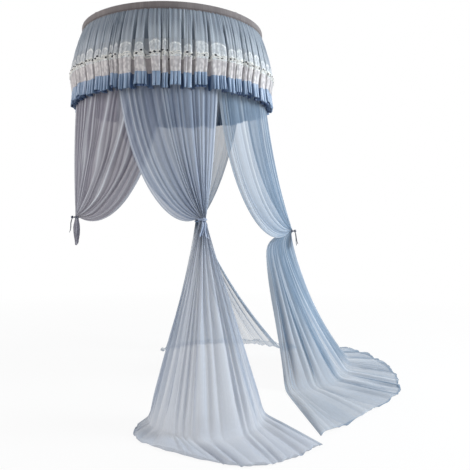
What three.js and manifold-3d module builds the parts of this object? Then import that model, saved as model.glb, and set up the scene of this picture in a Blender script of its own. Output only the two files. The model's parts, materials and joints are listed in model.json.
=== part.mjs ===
// A bed crown canopy: a round hoop with a tiered valance, hung from the ceiling, and four sheer panels
// drawn in by satin tie-backs. Millimetres, +Z up. The origin is the middle of the ceiling plate's top
// face, +X is to the right and +Y goes away from someone who stands at the foot of the bed.
import * as THREE from 'three';
import * as BufferGeometryUtils from 'three/addons/utils/BufferGeometryUtils.js';
import Module from 'manifold-3d';

const wasm = await Module();
wasm.setup();

// Clearances and faceting
const gap = 0.3;
const runningGap = 0.4;
const cutOverrun = 1;
const weldReach = 0.0005;
const stepsPerMillimetre = 256;
const wireSides = 8;
const ringTurns = 20;

// Overall sizes
const ceilingHeight = 2615;
const crownDrop = 223;
const hoopRadius = 600;

// Ceiling plate and its eye
const plateRadius = 35;
const plateThick = 5;
const plateHoleRadius = 2.4;
const plateHoleOffset = 23;
const eyeRadius = 9;
const eyeWire = 5;
const eyeSink = 0.5;

// Snap hook and gate
const hookWire = 6;
const hookHalfWidth = 10;
const hookStraight = 32;
const gateLength = 22;
const gateWidth = 5;
const gateThick = 3;
const gateStub = 3;
const cheekThick = 1.5;
const cheekHeight = 8;
const gatePinRadius = 1.1;

// Swivel bolt, washer and hub
const shankRadius = 4;
const shankReach = 6;
const boltHeadRadius = 8;
const boltHeadHeight = 5;
const washerRadius = 9;
const washerThick = 1.5;
const hubRadius = 42;
const hubThick = 4;
const slotDepth = 7;
const hubRimWidth = 5.5;

// Hanger straps
const strapCount = 4;
const strapWidth = 20;
const strapThick = 1.5;
const strapSeat = 32;
const strapTurn = Math.PI / 4;

// Hoop and ferrules
const hoopTube = 8;
const hoopPieces = 4;
const ferruleWall = 0.7;
const ferruleColumns = 2;

// Header band
const headerHeight = 43;
const headerThick = 1.2;
const headerSideGap = 0.6;

// Valance
const clothThick = 1.2;
const valanceFolds = 30;
const pointsPerFold = 4;
const skirtDrop = 186;
const laceDrop = 105;
const flounceDrop = 89;
const ruffleDrop = 82;
const laceTopRadius = 655;
const flounceTopRadius = 668;
const ruffleTopRadius = 658;
const ruffleHemRadius = 660;
const laceTopFold = 8.5;
const flounceTopFold = 10;
const ruffleTopFold = 8;
const ruffleHemFold = 9;

// Roof
const roofFolds = 6;
const roofSag = 20;
const roofFoldHeight = 2.5;
const roofPatchRadius = 60;
const roofPatchThick = 1.2;
const roofPatchSides = 24;

// Panels
const headingDrop = 13;
const panelThick = 2.6;
const panelFolds = 5;
const panelFoldDepth = 13;
const bundleWidth = 100;
const bundleFoldDepth = 11;
const bundleHeight = 26;
const flareFoldDepth = 26;
const trainFoldDepth = 10;
const floorClearance = 0.5;
const tieHeight = 1130;
const tailLength = 155;

// Tie-backs
const tieThick = 2;
const tieBandHeight = 22;
const tieEndRoom = 11;
const tieColumns = 24;
const tieKnotRadius = 11;
const tieTailLength = 95;
const tieTailWidth = 16;
const tieTailThick = 2.4;
const tieTailSpread = 0.22;
const tieTailLean = 0.4;

// Heights that follow from the sizes above
const floorZ = -ceilingHeight;
const headerTop = -crownDrop;
const headerBottom = headerTop - headerHeight;
const ferruleRadius = hoopTube / 2 + gap + ferruleWall;
const hoopZ = headerTop - headerThick - gap - ferruleRadius;
const headingTop = headerTop - headingDrop;
const headerInner = hoopRadius - ferruleRadius - headerSideGap;
const headerOuter = hoopRadius + ferruleRadius + headerSideGap;
const skirtHeadRadius = headerOuter - gap - clothThick / 2;
const laceTop = headerBottom - skirtDrop;
const flounceTop = laceTop - laceDrop;
const ruffleTop = flounceTop - flounceDrop;
const ruffleHem = ruffleTop - ruffleDrop;
const columns = valanceFolds * pointsPerFold;
const columnAngle = 2 * Math.PI / columns;

// Materials
const steel = finish(0xb9bcc0, 0.35, 0.9);
const darkSteel = finish(0x8d9095, 0.4, 0.9);
const webbing = finish(0xd9d8d6, 0.85, 0);
const taupe = finish(0x7f7474, 0.8, 0);
const sheer = finish(0x9aa5b4, 0.75, 0);
const sheerWarm = finish(0x8d8a93, 0.75, 0);
const lace = finish(0xd6d8d2, 0.85, 0);
const cream = finish(0xdcdad0, 0.8, 0);
const satin = finish(0x6f87b0, 0.4, 0);
const satinDark = finish(0x59647c, 0.45, 0);

function finish(color, roughness, metalness) {
  return new THREE.MeshStandardMaterial({ color, roughness, metalness });
}

// Solids
function bareGeometry(geometry) {
  const bare = new THREE.BufferGeometry();
  bare.setAttribute('position', geometry.getAttribute('position').clone());
  if (geometry.index) {
    bare.setIndex(geometry.index.clone());
  }
  return BufferGeometryUtils.mergeVertices(bare, weldReach);
}

function toManifold(geometry) {
  const bare = bareGeometry(geometry);
  return new wasm.Manifold(new wasm.Mesh({
    numProp: 3,
    vertProperties: new Float32Array(bare.getAttribute('position').array),
    triVerts: new Uint32Array(bare.index.array),
  }));
}

function fromManifold(solid) {
  const mesh = solid.getMesh();
  const geometry = new THREE.BufferGeometry();
  geometry.setAttribute('position', new THREE.BufferAttribute(new Float32Array(mesh.vertProperties), 3));
  geometry.setIndex(new THREE.BufferAttribute(new Uint32Array(mesh.triVerts), 1));
  return geometry;
}

function joined(...geometries) {
  return fromManifold(geometries.map(toManifold).reduce((whole, next) => whole.add(next)));
}

function cutBy(geometry, ...tools) {
  const whole = toManifold(geometry);
  return fromManifold(tools.map(toManifold).reduce((left, tool) => left.subtract(tool), whole));
}

function named(name, geometry, material) {
  const mesh = new THREE.Mesh(geometry, material);
  mesh.name = name;
  return mesh;
}

function uprightCylinder(radius, top, bottom, sides = 24) {
  const geometry = new THREE.CylinderGeometry(radius, radius, top - bottom, sides);
  geometry.rotateX(Math.PI / 2);
  geometry.translate(0, 0, (top + bottom) / 2);
  return geometry;
}

function uprightEye(centreZ) {
  const geometry = new THREE.TorusGeometry(eyeRadius, eyeWire / 2, wireSides, ringTurns);
  geometry.rotateY(Math.PI / 2);
  geometry.translate(0, 0, centreZ);
  return geometry;
}

function block(width, depth, height) {
  return new THREE.BoxGeometry(width, depth, height);
}

// A coordinate in whole small steps, which single-precision numbers hold exactly
function onStep(value) {
  return Math.round(value * stepsPerMillimetre) / stepsPerMillimetre;
}

// A closed thin skin between two matching grids of points, or round a ring where closedRound is true.
// Both faces of the cloth bend along the same diagonals, so that a steep fold's faces never cross.
function skin(front, back, closedRound) {
  const rows = front.length;
  const across = front[0].length;
  const points = [...front.flat(), ...back.flat()];
  const faces = [];
  const at = (side, row, column) => side * rows * across + row * across + column % across;
  const quad = (a, b, c, d) => faces.push(a, b, c, a, c, d);
  const spans = closedRound ? across : across - 1;
  for (let column = 0; column < spans; column++) {
    const next = column + 1;
    const last = rows - 1;
    quad(at(0, last, next), at(0, last, column), at(1, last, column), at(1, last, next));
    quad(at(0, 0, column), at(0, 0, next), at(1, 0, next), at(1, 0, column));
  }
  if (!closedRound) {
    for (let row = 0; row < rows - 1; row++) {
      const end = across - 1;
      quad(at(0, row + 1, 0), at(0, row, 0), at(1, row, 0), at(1, row + 1, 0));
      quad(at(0, row, end), at(0, row + 1, end), at(1, row + 1, end), at(1, row, end));
    }
  }
  for (let row = 0; row < rows - 1; row++) {
    for (let column = 0; column < spans; column++) {
      const next = column + 1;
      quad(at(0, row, column), at(0, row + 1, column), at(0, row + 1, next), at(0, row, next));
      quad(at(1, row + 1, next), at(1, row + 1, column), at(1, row, column), at(1, row, next));
    }
  }
  const geometry = new THREE.BufferGeometry();
  const coordinates = points.flatMap((point) => point.toArray().map(onStep));
  geometry.setAttribute('position', new THREE.Float32BufferAttribute(coordinates, 3));
  geometry.setIndex(signedVolume(points, faces) < 0 ? faces.reverse() : faces);
  return geometry;
}

function signedVolume(points, faces) {
  let volume = 0;
  for (let i = 0; i < faces.length; i += 3) {
    const [a, b, c] = [points[faces[i]], points[faces[i + 1]], points[faces[i + 2]]];
    volume += a.dot(new THREE.Vector3().crossVectors(b, c));
  }
  return volume;
}

// A point on a circle round the crown's middle; the angle starts at the front and grows to the right
function ringPoint(radius, angle, z) {
  return new THREE.Vector3(radius * Math.sin(angle), -radius * Math.cos(angle), z);
}

// An arc of the hoop, for sweeping a section along it
class HoopArc extends THREE.Curve {
  constructor(from, to) {
    super();
    this.from = from;
    this.to = to;
  }

  getPoint(share, target = new THREE.Vector3()) {
    const angle = THREE.MathUtils.lerp(this.from, this.to, share);
    return target.copy(ringPoint(hoopRadius, angle, hoopZ));
  }
}

function roundShape(radius) {
  const shape = new THREE.Shape();
  shape.absarc(0, 0, radius, 0, 2 * Math.PI, false);
  return shape;
}

function sweep(shape, path, steps) {
  return new THREE.ExtrudeGeometry(shape, {
    steps,
    curveSegments: wireSides / 2,
    extrudePath: path,
    bevelEnabled: false,
  });
}

// Ceiling plate
const eyeZ = -plateThick + eyeSink - eyeRadius - eyeWire / 2;

function ceilingPlate() {
  const disc = uprightCylinder(plateRadius, 0, -plateThick, 36);
  const holes = [-plateHoleOffset, plateHoleOffset].map((x) => {
    const hole = uprightCylinder(plateHoleRadius, cutOverrun, -plateThick - cutOverrun, 12);
    hole.translate(x, 0, 0);
    return hole;
  });
  return joined(cutBy(disc, ...holes), uprightEye(eyeZ));
}

// Snap hook, whose wire rests in the ceiling eye
const hookTopZ = eyeZ - eyeRadius + eyeWire / 2 + gap + hookWire / 2;
const upperBendZ = hookTopZ - hookHalfWidth;
const lowerBendZ = upperBendZ - hookStraight;
const gatePivotZ = lowerBendZ + gateStub + gap + gateWidth / 2 + runningGap;
const gateTopZ = gatePivotZ + gateLength - gateWidth / 2;

// The hook's open wire: up from the nose, over the top, down the back and round to the gate's stub
class HookWire extends THREE.Curve {
  constructor() {
    super();
    this.nose = upperBendZ - gateTopZ - gap;
    this.bend = Math.PI * hookHalfWidth;
    this.length = this.nose + this.bend + hookStraight + this.bend + gateStub;
  }

  getPoint(share, target = new THREE.Vector3()) {
    let along = share * this.length;
    if (along < this.nose) {
      return target.set(hookHalfWidth, 0, upperBendZ - this.nose + along);
    }
    along -= this.nose;
    if (along < this.bend) {
      return this.onBend(upperBendZ, along / hookHalfWidth, target);
    }
    along -= this.bend;
    if (along < hookStraight) {
      return target.set(-hookHalfWidth, 0, upperBendZ - along);
    }
    along -= hookStraight;
    if (along < this.bend) {
      return this.onBend(lowerBendZ, Math.PI + along / hookHalfWidth, target);
    }
    return target.set(hookHalfWidth, 0, lowerBendZ + along - this.bend);
  }

  onBend(centreZ, angle, target) {
    return target.set(hookHalfWidth * Math.cos(angle), 0, centreZ + hookHalfWidth * Math.sin(angle));
  }
}

function gatePin(radius, reach) {
  const pin = new THREE.CylinderGeometry(radius, radius, 2 * reach, 12);
  pin.translate(hookHalfWidth, 0, gatePivotZ);
  return pin;
}

const cheekInner = gateThick / 2 + runningGap;
const cheekOuter = cheekInner + cheekThick;

function snapHook() {
  const wire = sweep(roundShape(hookWire / 2), new HookWire(), 36);
  const cheeks = [-1, 1].map((side) => {
    const cheek = block(hookWire, cheekThick, cheekHeight);
    const cheekBottom = lowerBendZ + gateStub - cheekThick;
    cheek.translate(hookHalfWidth, side * (cheekInner + cheekThick / 2), cheekBottom + cheekHeight / 2);
    return cheek;
  });
  return cutBy(joined(wire, ...cheeks), gatePin(gatePinRadius + gap, cheekOuter + cutOverrun));
}

function snapGate() {
  const bar = block(gateWidth, gateThick, gateLength - gateWidth / 2);
  bar.translate(hookHalfWidth, 0, (gatePivotZ + gateTopZ) / 2);
  const knuckle = new THREE.CylinderGeometry(gateWidth / 2, gateWidth / 2, gateThick, 16);
  knuckle.translate(hookHalfWidth, 0, gatePivotZ);
  return cutBy(joined(bar, knuckle), gatePin(gatePinRadius + gap, gateThick));
}

// Swivel bolt, whose eye hangs on the hook's lower bend
const hookSeatZ = lowerBendZ - hookHalfWidth + hookWire / 2;
const boltEyeZ = hookSeatZ + gap - eyeRadius + eyeWire / 2;
const hubTop = boltEyeZ - eyeRadius - eyeWire / 2 - shankReach;
const hubBottom = hubTop - hubThick;
const washerTop = hubBottom - gap;
const headTop = washerTop - washerThick - gap;

function swivelBolt() {
  const shankTop = boltEyeZ - eyeRadius;
  const shank = uprightCylinder(shankRadius, shankTop, headTop - boltHeadHeight / 2, 16);
  const head = uprightCylinder(boltHeadRadius, headTop, headTop - boltHeadHeight, 16);
  return joined(uprightEye(boltEyeZ), shank, head);
}

function swivelWasher() {
  const washer = uprightCylinder(washerRadius, washerTop, washerTop - washerThick, 16);
  const bore = uprightCylinder(shankRadius + runningGap, washerTop + cutOverrun, headTop, 16);
  return cutBy(washer, bore);
}

// Hub disc with a slot for each strap
const slotOuter = hubRadius - hubRimWidth;

function crownHub() {
  const disc = uprightCylinder(hubRadius, hubTop, hubBottom, 48);
  const bore = uprightCylinder(shankRadius + runningGap, hubTop + cutOverrun, hubBottom - cutOverrun, 16);
  const slots = strapAngles().map((angle) => {
    const slot = block(slotDepth, strapWidth + 2 * cutOverrun, hubThick + 2 * cutOverrun);
    slot.translate(slotOuter - slotDepth / 2, 0, (hubTop + hubBottom) / 2);
    slot.rotateZ(angle);
    return slot;
  });
  return cutBy(disc, bore, ...slots);
}

function strapAngles() {
  return Array.from({ length: strapCount }, (_, i) => strapTurn + i * 2 * Math.PI / strapCount);
}

// Hanger strap: a sewn loop round the hub's rim, a taut run, and a seat sewn down on the crown's edge
const roofRimTop = headerTop + gap + clothThick;
const strapSeatZ = roofRimTop + gap;

function hangerStrap(angle) {
  const inner = slotOuter - gap;
  const outer = hubRadius + gap;
  const above = hubTop + gap;
  const below = hubBottom - gap;
  const seatStart = headerOuter - strapSeat;
  const outline = new THREE.Shape([
    new THREE.Vector2(inner - strapThick, above + strapThick),
    new THREE.Vector2(inner - strapThick, below - strapThick),
    new THREE.Vector2(outer + strapThick, below - strapThick),
    new THREE.Vector2(outer + strapThick, above),
    new THREE.Vector2(seatStart, strapSeatZ),
    new THREE.Vector2(headerOuter, strapSeatZ),
    new THREE.Vector2(headerOuter, strapSeatZ + strapThick),
    new THREE.Vector2(seatStart, strapSeatZ + strapThick),
    new THREE.Vector2(outer + strapThick, above + strapThick),
  ]);
  outline.holes.push(new THREE.Path([
    new THREE.Vector2(inner, above),
    new THREE.Vector2(outer, above),
    new THREE.Vector2(outer, below),
    new THREE.Vector2(inner, below),
  ]));
  const geometry = new THREE.ExtrudeGeometry(outline, { depth: strapWidth, bevelEnabled: false });
  geometry.translate(0, 0, -strapWidth / 2);
  geometry.rotateX(Math.PI / 2);
  geometry.rotateZ(angle);
  return geometry;
}

// Hoop quarters and the sleeves over their ends
function hoopSegment(index) {
  const quarter = 2 * Math.PI / hoopPieces;
  const trim = gap / 2 / hoopRadius;
  const arc = new HoopArc(index * quarter + trim, (index + 1) * quarter - trim);
  return sweep(roundShape(hoopTube / 2), arc, columns / hoopPieces);
}

function hoopFerrule(index) {
  const middle = index * 2 * Math.PI / hoopPieces;
  const reach = ferruleColumns / 2 * columnAngle;
  const sleeve = roundShape(ferruleRadius);
  sleeve.holes.push(roundShape(hoopTube / 2 + gap));
  return sweep(sleeve, new HoopArc(middle - reach, middle + reach), ferruleColumns);
}

// Header band: a casing folded over the hoop, open downwards where the cloth headings go in
function headerBand() {
  const inside = headerInner - headerThick;
  const outside = headerOuter + headerThick;
  const profile = [
    [outside, headerBottom],
    [outside, headerTop],
    [inside, headerTop],
    [inside, headerBottom],
    [headerInner, headerBottom],
    [headerInner, headerTop - headerThick],
    [headerOuter, headerTop - headerThick],
    [headerOuter, headerBottom],
  ];
  const rings = [...profile, profile[0]].map(([radius, z]) => new THREE.Vector2(radius, z));
  const geometry = new THREE.LatheGeometry(rings, columns);
  geometry.rotateX(Math.PI / 2);
  return outwardFacing(bareGeometry(geometry));
}

function outwardFacing(geometry) {
  const position = geometry.getAttribute('position');
  const pointAt = (_, i) => new THREE.Vector3().fromBufferAttribute(position, i);
  const points = Array.from({ length: position.count }, pointAt);
  const faces = [...geometry.index.array];
  geometry.setIndex(signedVolume(points, faces) < 0 ? faces.reverse() : faces);
  return geometry;
}

// Valance tiers: rings of even folds, each sewn edge to edge with the next
function foldWave(column) {
  return Math.cos(column * 2 * Math.PI / pointsPerFold);
}

function valanceTier(levels) {
  const ring = ({ z, radius, fold }, lift) => Array.from({ length: columns }, (_, column) => (
    ringPoint(radius + fold * foldWave(column) + lift, column * columnAngle, z)
  ));
  const surface = (side) => levels.map((level) => ring(level, side * clothThick / 2));
  return skin(surface(1), surface(-1), true);
}

const laceEdge = { radius: laceTopRadius, fold: laceTopFold };
const flounceEdge = { radius: flounceTopRadius, fold: flounceTopFold };
const ruffleEdge = { radius: ruffleTopRadius, fold: ruffleTopFold };
const hemEdge = { radius: ruffleHemRadius, fold: ruffleHemFold };

function valanceSkirt() {
  return valanceTier([
    { z: headingTop, radius: skirtHeadRadius, fold: 0 },
    { z: headerBottom, radius: skirtHeadRadius, fold: 0 },
    { z: laceTop, ...laceEdge },
  ]);
}

function laceBand() {
  return valanceTier([{ z: laceTop - gap, ...laceEdge }, { z: flounceTop, ...flounceEdge }]);
}

function creamFlounce() {
  return valanceTier([{ z: flounceTop - gap, ...flounceEdge }, { z: ruffleTop, ...ruffleEdge }]);
}

function satinRuffle() {
  return valanceTier([{ z: ruffleTop - gap, ...ruffleEdge }, { z: ruffleHem, ...hemEdge }]);
}

// Roof net: a flat gathered disc sewn down on the header band, sagging towards its middle
const roofInner = headerInner - headerThick - gap;
const roofRadiusShares = [0.1, 0.4, 0.75, 1];

function roofHeight(share, column) {
  const fold = roofFoldHeight * Math.sin(Math.PI * share) * foldWave(column);
  return headerTop + gap + clothThick / 2 - roofSag * (1 - share * share) + fold;
}

function roofNet() {
  const across = roofFolds * pointsPerFold;
  const angle = 2 * Math.PI / across;
  const surface = (side) => {
    const lift = side * clothThick / 2;
    const ring = (radius, share) => Array.from({ length: across }, (_, column) => (
      ringPoint(radius, column * angle, roofHeight(share, column) + lift)
    ));
    return [...roofRadiusShares.map((share) => ring(share * roofInner, share)), ring(headerOuter, 1)];
  };
  return skin(surface(1), surface(-1), true);
}

function roofPatch() {
  const bottom = roofHeight(roofRadiusShares[0], 0) + clothThick / 2 + gap;
  return uprightCylinder(roofPatchRadius, bottom + roofPatchThick, bottom, roofPatchSides);
}

// Panels. Angles run round the crown from the front, plan places are shares of the hoop's radius,
// and layer says how many cloths lie outside the panel in the header band.
const degrees = Math.PI / 180;
const panels = [
  {
    name: 'left', from: -112.5 * degrees, to: 6 * degrees, layer: 2, tieShare: [-1.055, -0.183],
    tieHeightShare: 1.02, swellShare: 0.115, material: sheerWarm, tie: satinDark,
  },
  {
    name: 'front', from: -29 * degrees, to: 28 * degrees, layer: 1, tieShare: [0.405, -1.283],
    tieHeightShare: 1, swellShare: 0, kneeShare: 0.45, material: sheer, tie: satin,
    touchShares: [[-0.13, -1.03], [-0.02, -1.35], [0.36, -1.64], [0.85, -1.45], [0.975, -1.0]],
    hemShares: [[-0.197, -1.228], [-0.105, -1.65], [0.638, -2.1], [1.062, -2.07], [1.425, -1.76]],
  },
  {
    name: 'right', from: 36 * degrees, to: 127 * degrees, layer: 2, tieShare: [1.36, 0.183],
    tieHeightShare: 0.936, swellShare: 0, kneeShare: 0.2, material: sheer, tie: satinDark,
    touchShares: [[1.25, -0.22], [1.75, -0.05], [2.1, 0.6], [2.22, 1.3], [2.22, 1.85]],
    hemShares: [[1.45, -1.54], [2.3, -0.6], [2.63, 0.2], [2.62, 1.25], [2.32, 1.95]],
  },
  {
    name: 'back', from: 122 * degrees, to: 248 * degrees, layer: 3, tieShare: [0.183, 1.375],
    tieHeightShare: 1, swellShare: 0, kneeShare: 0.3, material: sheerWarm, tie: satin,
    touchShares: [[1.4, 1.75], [1.1, 2.0], [0.6, 2.1], [0.1, 2.0], [-0.33, 1.67]],
    hemShares: [[1.65, 1.95], [1.2, 2.35], [0.6, 2.45], [0.05, 2.3], [-0.4, 1.78]],
  },
];

const panelColumns = panelFolds * pointsPerFold + 1;
const fallShares = [0.22, 0.4, 0.58, 0.76, 0.9];
const tautKneeShare = { across: 0.1, down: 0.45 };
const slackKneeShare = { across: 0.11, down: 1.07 };
const slackPower = 1.5;
const foldGrowthPower = 1.2;
const tailShares = [{ fall: 0.5, width: 0.85 }, { fall: 1, width: 0.7 }];
const flareShares = [0.34, 0.68];
const touchRoomShare = 0.6;
const leastTiltShare = 0.5;
const headingRows = 2;

// Outermost panels lie just inside the valance's heading, and the next layer just inside them
function headingRadius(panel) {
  const outermost = skirtHeadRadius - clothThick / 2 - gap - panelThick / 2;
  return outermost - (panel.layer - 1) * (panelThick + gap);
}

function planPoint([x, y], z) {
  return new THREE.Vector3(x * hoopRadius, y * hoopRadius, z);
}

function tiePlace(panel) {
  return planPoint(panel.tieShare, floorZ + tieHeight * panel.tieHeightShare);
}

// Which way the tied bundle faces, and the way across it
function tieFacing(panel) {
  return new THREE.Vector3(panel.tieShare[0], panel.tieShare[1], 0).normalize();
}

function tieAcross(panel) {
  const facing = tieFacing(panel);
  return new THREE.Vector3(-facing.y, facing.x, 0);
}

// A bezier point between three places
function bent(start, knee, end, share) {
  const a = start.clone().lerp(knee, share);
  const b = knee.clone().lerp(end, share);
  return a.lerp(b, share);
}

function blendDirection(a, b, share) {
  return a.clone().lerp(b, share).normalize();
}

// How slack the cloth is at a column: taut under its own stretch of hoop, hanging in a swag far from it
function slackAt(panel, column) {
  const distance = (angle) => ringPoint(hoopRadius, angle, 0).distanceTo(planPoint(panel.tieShare, 0));
  const farthest = Math.max(distance(panel.from), distance(panel.to));
  const angle = THREE.MathUtils.lerp(panel.from, panel.to, column / (panelColumns - 1));
  return (distance(angle) / farthest) ** slackPower;
}

// The rows of one column, from the heading down: places, fold depths and, above the flare, the
// directions that the folds stand out in
function panelColumn(panel, column) {
  const share = column / (panelColumns - 1);
  const angle = THREE.MathUtils.lerp(panel.from, panel.to, share);
  const radius = headingRadius(panel);
  const outward = ringPoint(1, angle, 0);
  const facing = tieFacing(panel);
  const head = ringPoint(radius, angle, headerBottom);
  const offset = tieAcross(panel).multiplyScalar((share - 0.5) * bundleWidth);
  const knotTop = tiePlace(panel).add(offset).add(new THREE.Vector3(0, 0, bundleHeight / 2));
  const knotBottom = knotTop.clone().add(new THREE.Vector3(0, 0, -bundleHeight));
  const slack = slackAt(panel, column);
  const kneeAcross = THREE.MathUtils.lerp(tautKneeShare.across, slackKneeShare.across, slack);
  const kneeDown = THREE.MathUtils.lerp(tautKneeShare.down, slackKneeShare.down, slack);
  const knee = head.clone().lerp(knotTop, kneeAcross);
  knee.addScaledVector(outward, (1 - slack) * panel.swellShare * hoopRadius);
  knee.z = THREE.MathUtils.lerp(head.z, knotTop.z, kneeDown);
  const gather = 2 * Math.sqrt(share * (1 - share));
  const rows = [
    { place: ringPoint(radius, angle, headingTop), outward, fold: 0 },
    { place: head, outward, fold: 0 },
  ];
  for (const fall of fallShares) {
    const place = bent(head, knee, knotTop, fall);
    const fallen = (head.z - place.z) / (head.z - knotTop.z);
    const fold = panelFoldDepth * fallen ** foldGrowthPower * THREE.MathUtils.lerp(1, gather, fall * fall);
    rows.push({ place, outward: blendDirection(outward, facing, fall * fall), fold });
  }
  rows.push({ place: knotTop, outward: facing, fold: bundleFoldDepth * gather });
  rows.push({ place: knotBottom, outward: facing, fold: bundleFoldDepth * gather });
  const lowerRows = panel.hemShares ? trainRows : tailRows;
  return rows.concat(lowerRows(panel, share, knotBottom));
}

// A short tail that hangs free below the knot
function tailRows(panel, share, knotBottom) {
  const facing = tieFacing(panel);
  const gather = 2 * Math.sqrt(share * (1 - share));
  return tailShares.map(({ fall, width }) => {
    const inset = tieAcross(panel).multiplyScalar((0.5 - share) * bundleWidth * (1 - width));
    const place = knotBottom.clone().add(inset).add(new THREE.Vector3(0, 0, -fall * tailLength));
    return { place, outward: facing, fold: bundleFoldDepth * gather };
  });
}

// A long flare down to the floor, and a train that lies on it
function trainRows(panel, share, knotBottom) {
  const lie = floorZ + floorClearance + trainFoldDepth + panelThick * touchRoomShare;
  const touch = alongShares(panel.touchShares, share, lie);
  const hem = alongShares(panel.hemShares, share, lie);
  const knee = knotBottom.clone().lerp(touch, panel.kneeShare);
  knee.z = (knotBottom.z + touch.z) / 2;
  const rows = flareShares.map((fall) => ({
    place: bent(knotBottom, knee, touch, fall),
    fold: THREE.MathUtils.lerp(bundleFoldDepth, flareFoldDepth, fall),
  }));
  rows.push({ place: touch, fold: trainFoldDepth });
  rows.push({ place: hem, fold: trainFoldDepth });
  return rows;
}

function alongShares(shares, share, z) {
  return new THREE.CatmullRomCurve3(shares.map((place) => planPoint(place, z))).getPoint(share);
}

// How steep the folds are at a point, and the cloth's own normal there before it is folded
function layOf(grid, row, column) {
  const [before, after] = [Math.max(column - 1, 0), Math.min(column + 1, grid.length - 1)];
  const across = grid[after][row].place.clone().sub(grid[before][row].place);
  const [above, below] = [Math.max(row - 1, 0), Math.min(row + 1, grid[column].length - 1)];
  const down = grid[column][below].place.clone().sub(grid[column][above].place);
  const slope = grid[column][row].fold * (after - before) / across.length();
  return { slope, normal: down.cross(across).normalize() };
}

// Half the cloth's thickness as measured along its outward direction. Below the heading it grows where
// the folds are steep or the cloth leans, so that the cloth is equally thick everywhere.
function halfThickness(lay, outward, row) {
  if (row < headingRows) {
    return panelThick / 2;
  }
  const tilt = Math.abs(lay.normal.dot(outward));
  return panelThick / 2 * Math.hypot(1, lay.slope) / Math.max(tilt, leastTiltShare);
}

function panelSkin(panel) {
  const grid = Array.from({ length: panelColumns }, (_, column) => panelColumn(panel, column));
  const surface = (side) => grid[0].map((_, row) => grid.map((rows, column) => {
    const { place, fold } = rows[row];
    const lay = layOf(grid, row, column);
    const outward = rows[row].outward ?? lay.normal;
    const lift = fold * foldWave(column) + side * halfThickness(lay, outward, row);
    return place.clone().addScaledVector(outward, lift);
  }));
  return skin(surface(1), surface(-1), false);
}

// Tie-backs: an oval band round the bundle, and a knot with two tails on its outer side
const bundlePitch = bundleWidth / (panelColumns - 1);
const bundleHalfThick = panelThick / 2 * Math.hypot(1, bundleFoldDepth / bundlePitch);
const bandInnerDepth = bundleFoldDepth + bundleHalfThick + gap;

function tieBand(panel) {
  const place = tiePlace(panel);
  const across = tieAcross(panel);
  const facing = tieFacing(panel);
  const rows = [tieBandHeight / 2, -tieBandHeight / 2];
  const surface = (thick) => rows.map((lift) => Array.from({ length: tieColumns }, (_, column) => {
    const angle = column * 2 * Math.PI / tieColumns;
    const wide = (bundleWidth / 2 + tieEndRoom + thick) * Math.cos(angle);
    const deep = (bandInnerDepth + thick) * Math.sin(angle);
    const point = place.clone().addScaledVector(across, wide).addScaledVector(facing, deep);
    point.z += lift;
    return point;
  }));
  return skin(surface(tieThick), surface(0), true);
}

function tieKnot(panel) {
  const knot = new THREE.SphereGeometry(tieKnotRadius, 12, 8);
  const tails = [-1, 1].map((side) => {
    const tail = block(tieTailWidth, tieTailThick, tieTailLength);
    tail.translate(0, 0, -tieTailLength / 2);
    tail.rotateY(-side * tieTailSpread);
    tail.rotateX(-tieTailLean);
    tail.translate(0, side * tieTailThick / 2, 0);
    return tail;
  });
  const geometry = joined(knot, ...tails);
  const facing = tieFacing(panel);
  const standOff = bandInnerDepth + tieThick + gap + tieKnotRadius;
  geometry.rotateZ(Math.atan2(facing.y, facing.x) + Math.PI / 2);
  geometry.translate(...tiePlace(panel).addScaledVector(facing, standOff).toArray());
  return geometry;
}

// Assembly
const canopy = new THREE.Group();

canopy.add(
  named('ceiling_plate', ceilingPlate(), steel),
  named('snap_hook', snapHook(), steel),
  named('snap_gate', snapGate(), darkSteel),
  named('snap_gate_pin', gatePin(gatePinRadius, cheekOuter), darkSteel),
  named('swivel_bolt', swivelBolt(), steel),
  named('swivel_washer', swivelWasher(), darkSteel),
  named('crown_hub', crownHub(), steel),
);
strapAngles().forEach((angle, i) => {
  canopy.add(named(`hanger_strap_${i + 1}`, hangerStrap(angle), webbing));
});
for (let i = 0; i < hoopPieces; i++) {
  canopy.add(named(`hoop_segment_${i + 1}`, hoopSegment(i), steel));
  canopy.add(named(`hoop_ferrule_${i + 1}`, hoopFerrule(i), darkSteel));
}
canopy.add(
  named('header_band', headerBand(), taupe),
  named('roof_net', roofNet(), sheer),
  named('roof_patch', roofPatch(), taupe),
  named('valance_skirt', valanceSkirt(), sheer),
  named('lace_band', laceBand(), lace),
  named('cream_flounce', creamFlounce(), cream),
  named('satin_ruffle', satinRuffle(), satin),
);
for (const panel of panels) {
  canopy.add(named(`panel_${panel.name}`, panelSkin(panel), panel.material));
  canopy.add(named(`tie_band_${panel.name}`, tieBand(panel), panel.tie));
  canopy.add(named(`tie_knot_${panel.name}`, tieKnot(panel), panel.tie));
}

export default canopy;
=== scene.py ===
import bpy
import json
import numpy as np
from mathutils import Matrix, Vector
from numpy import arange, array, clip, concatenate, cos, diff, exp, linspace, maximum, meshgrid
from numpy import mod, pi, sin, stack
from numpy.random import RandomState

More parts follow.
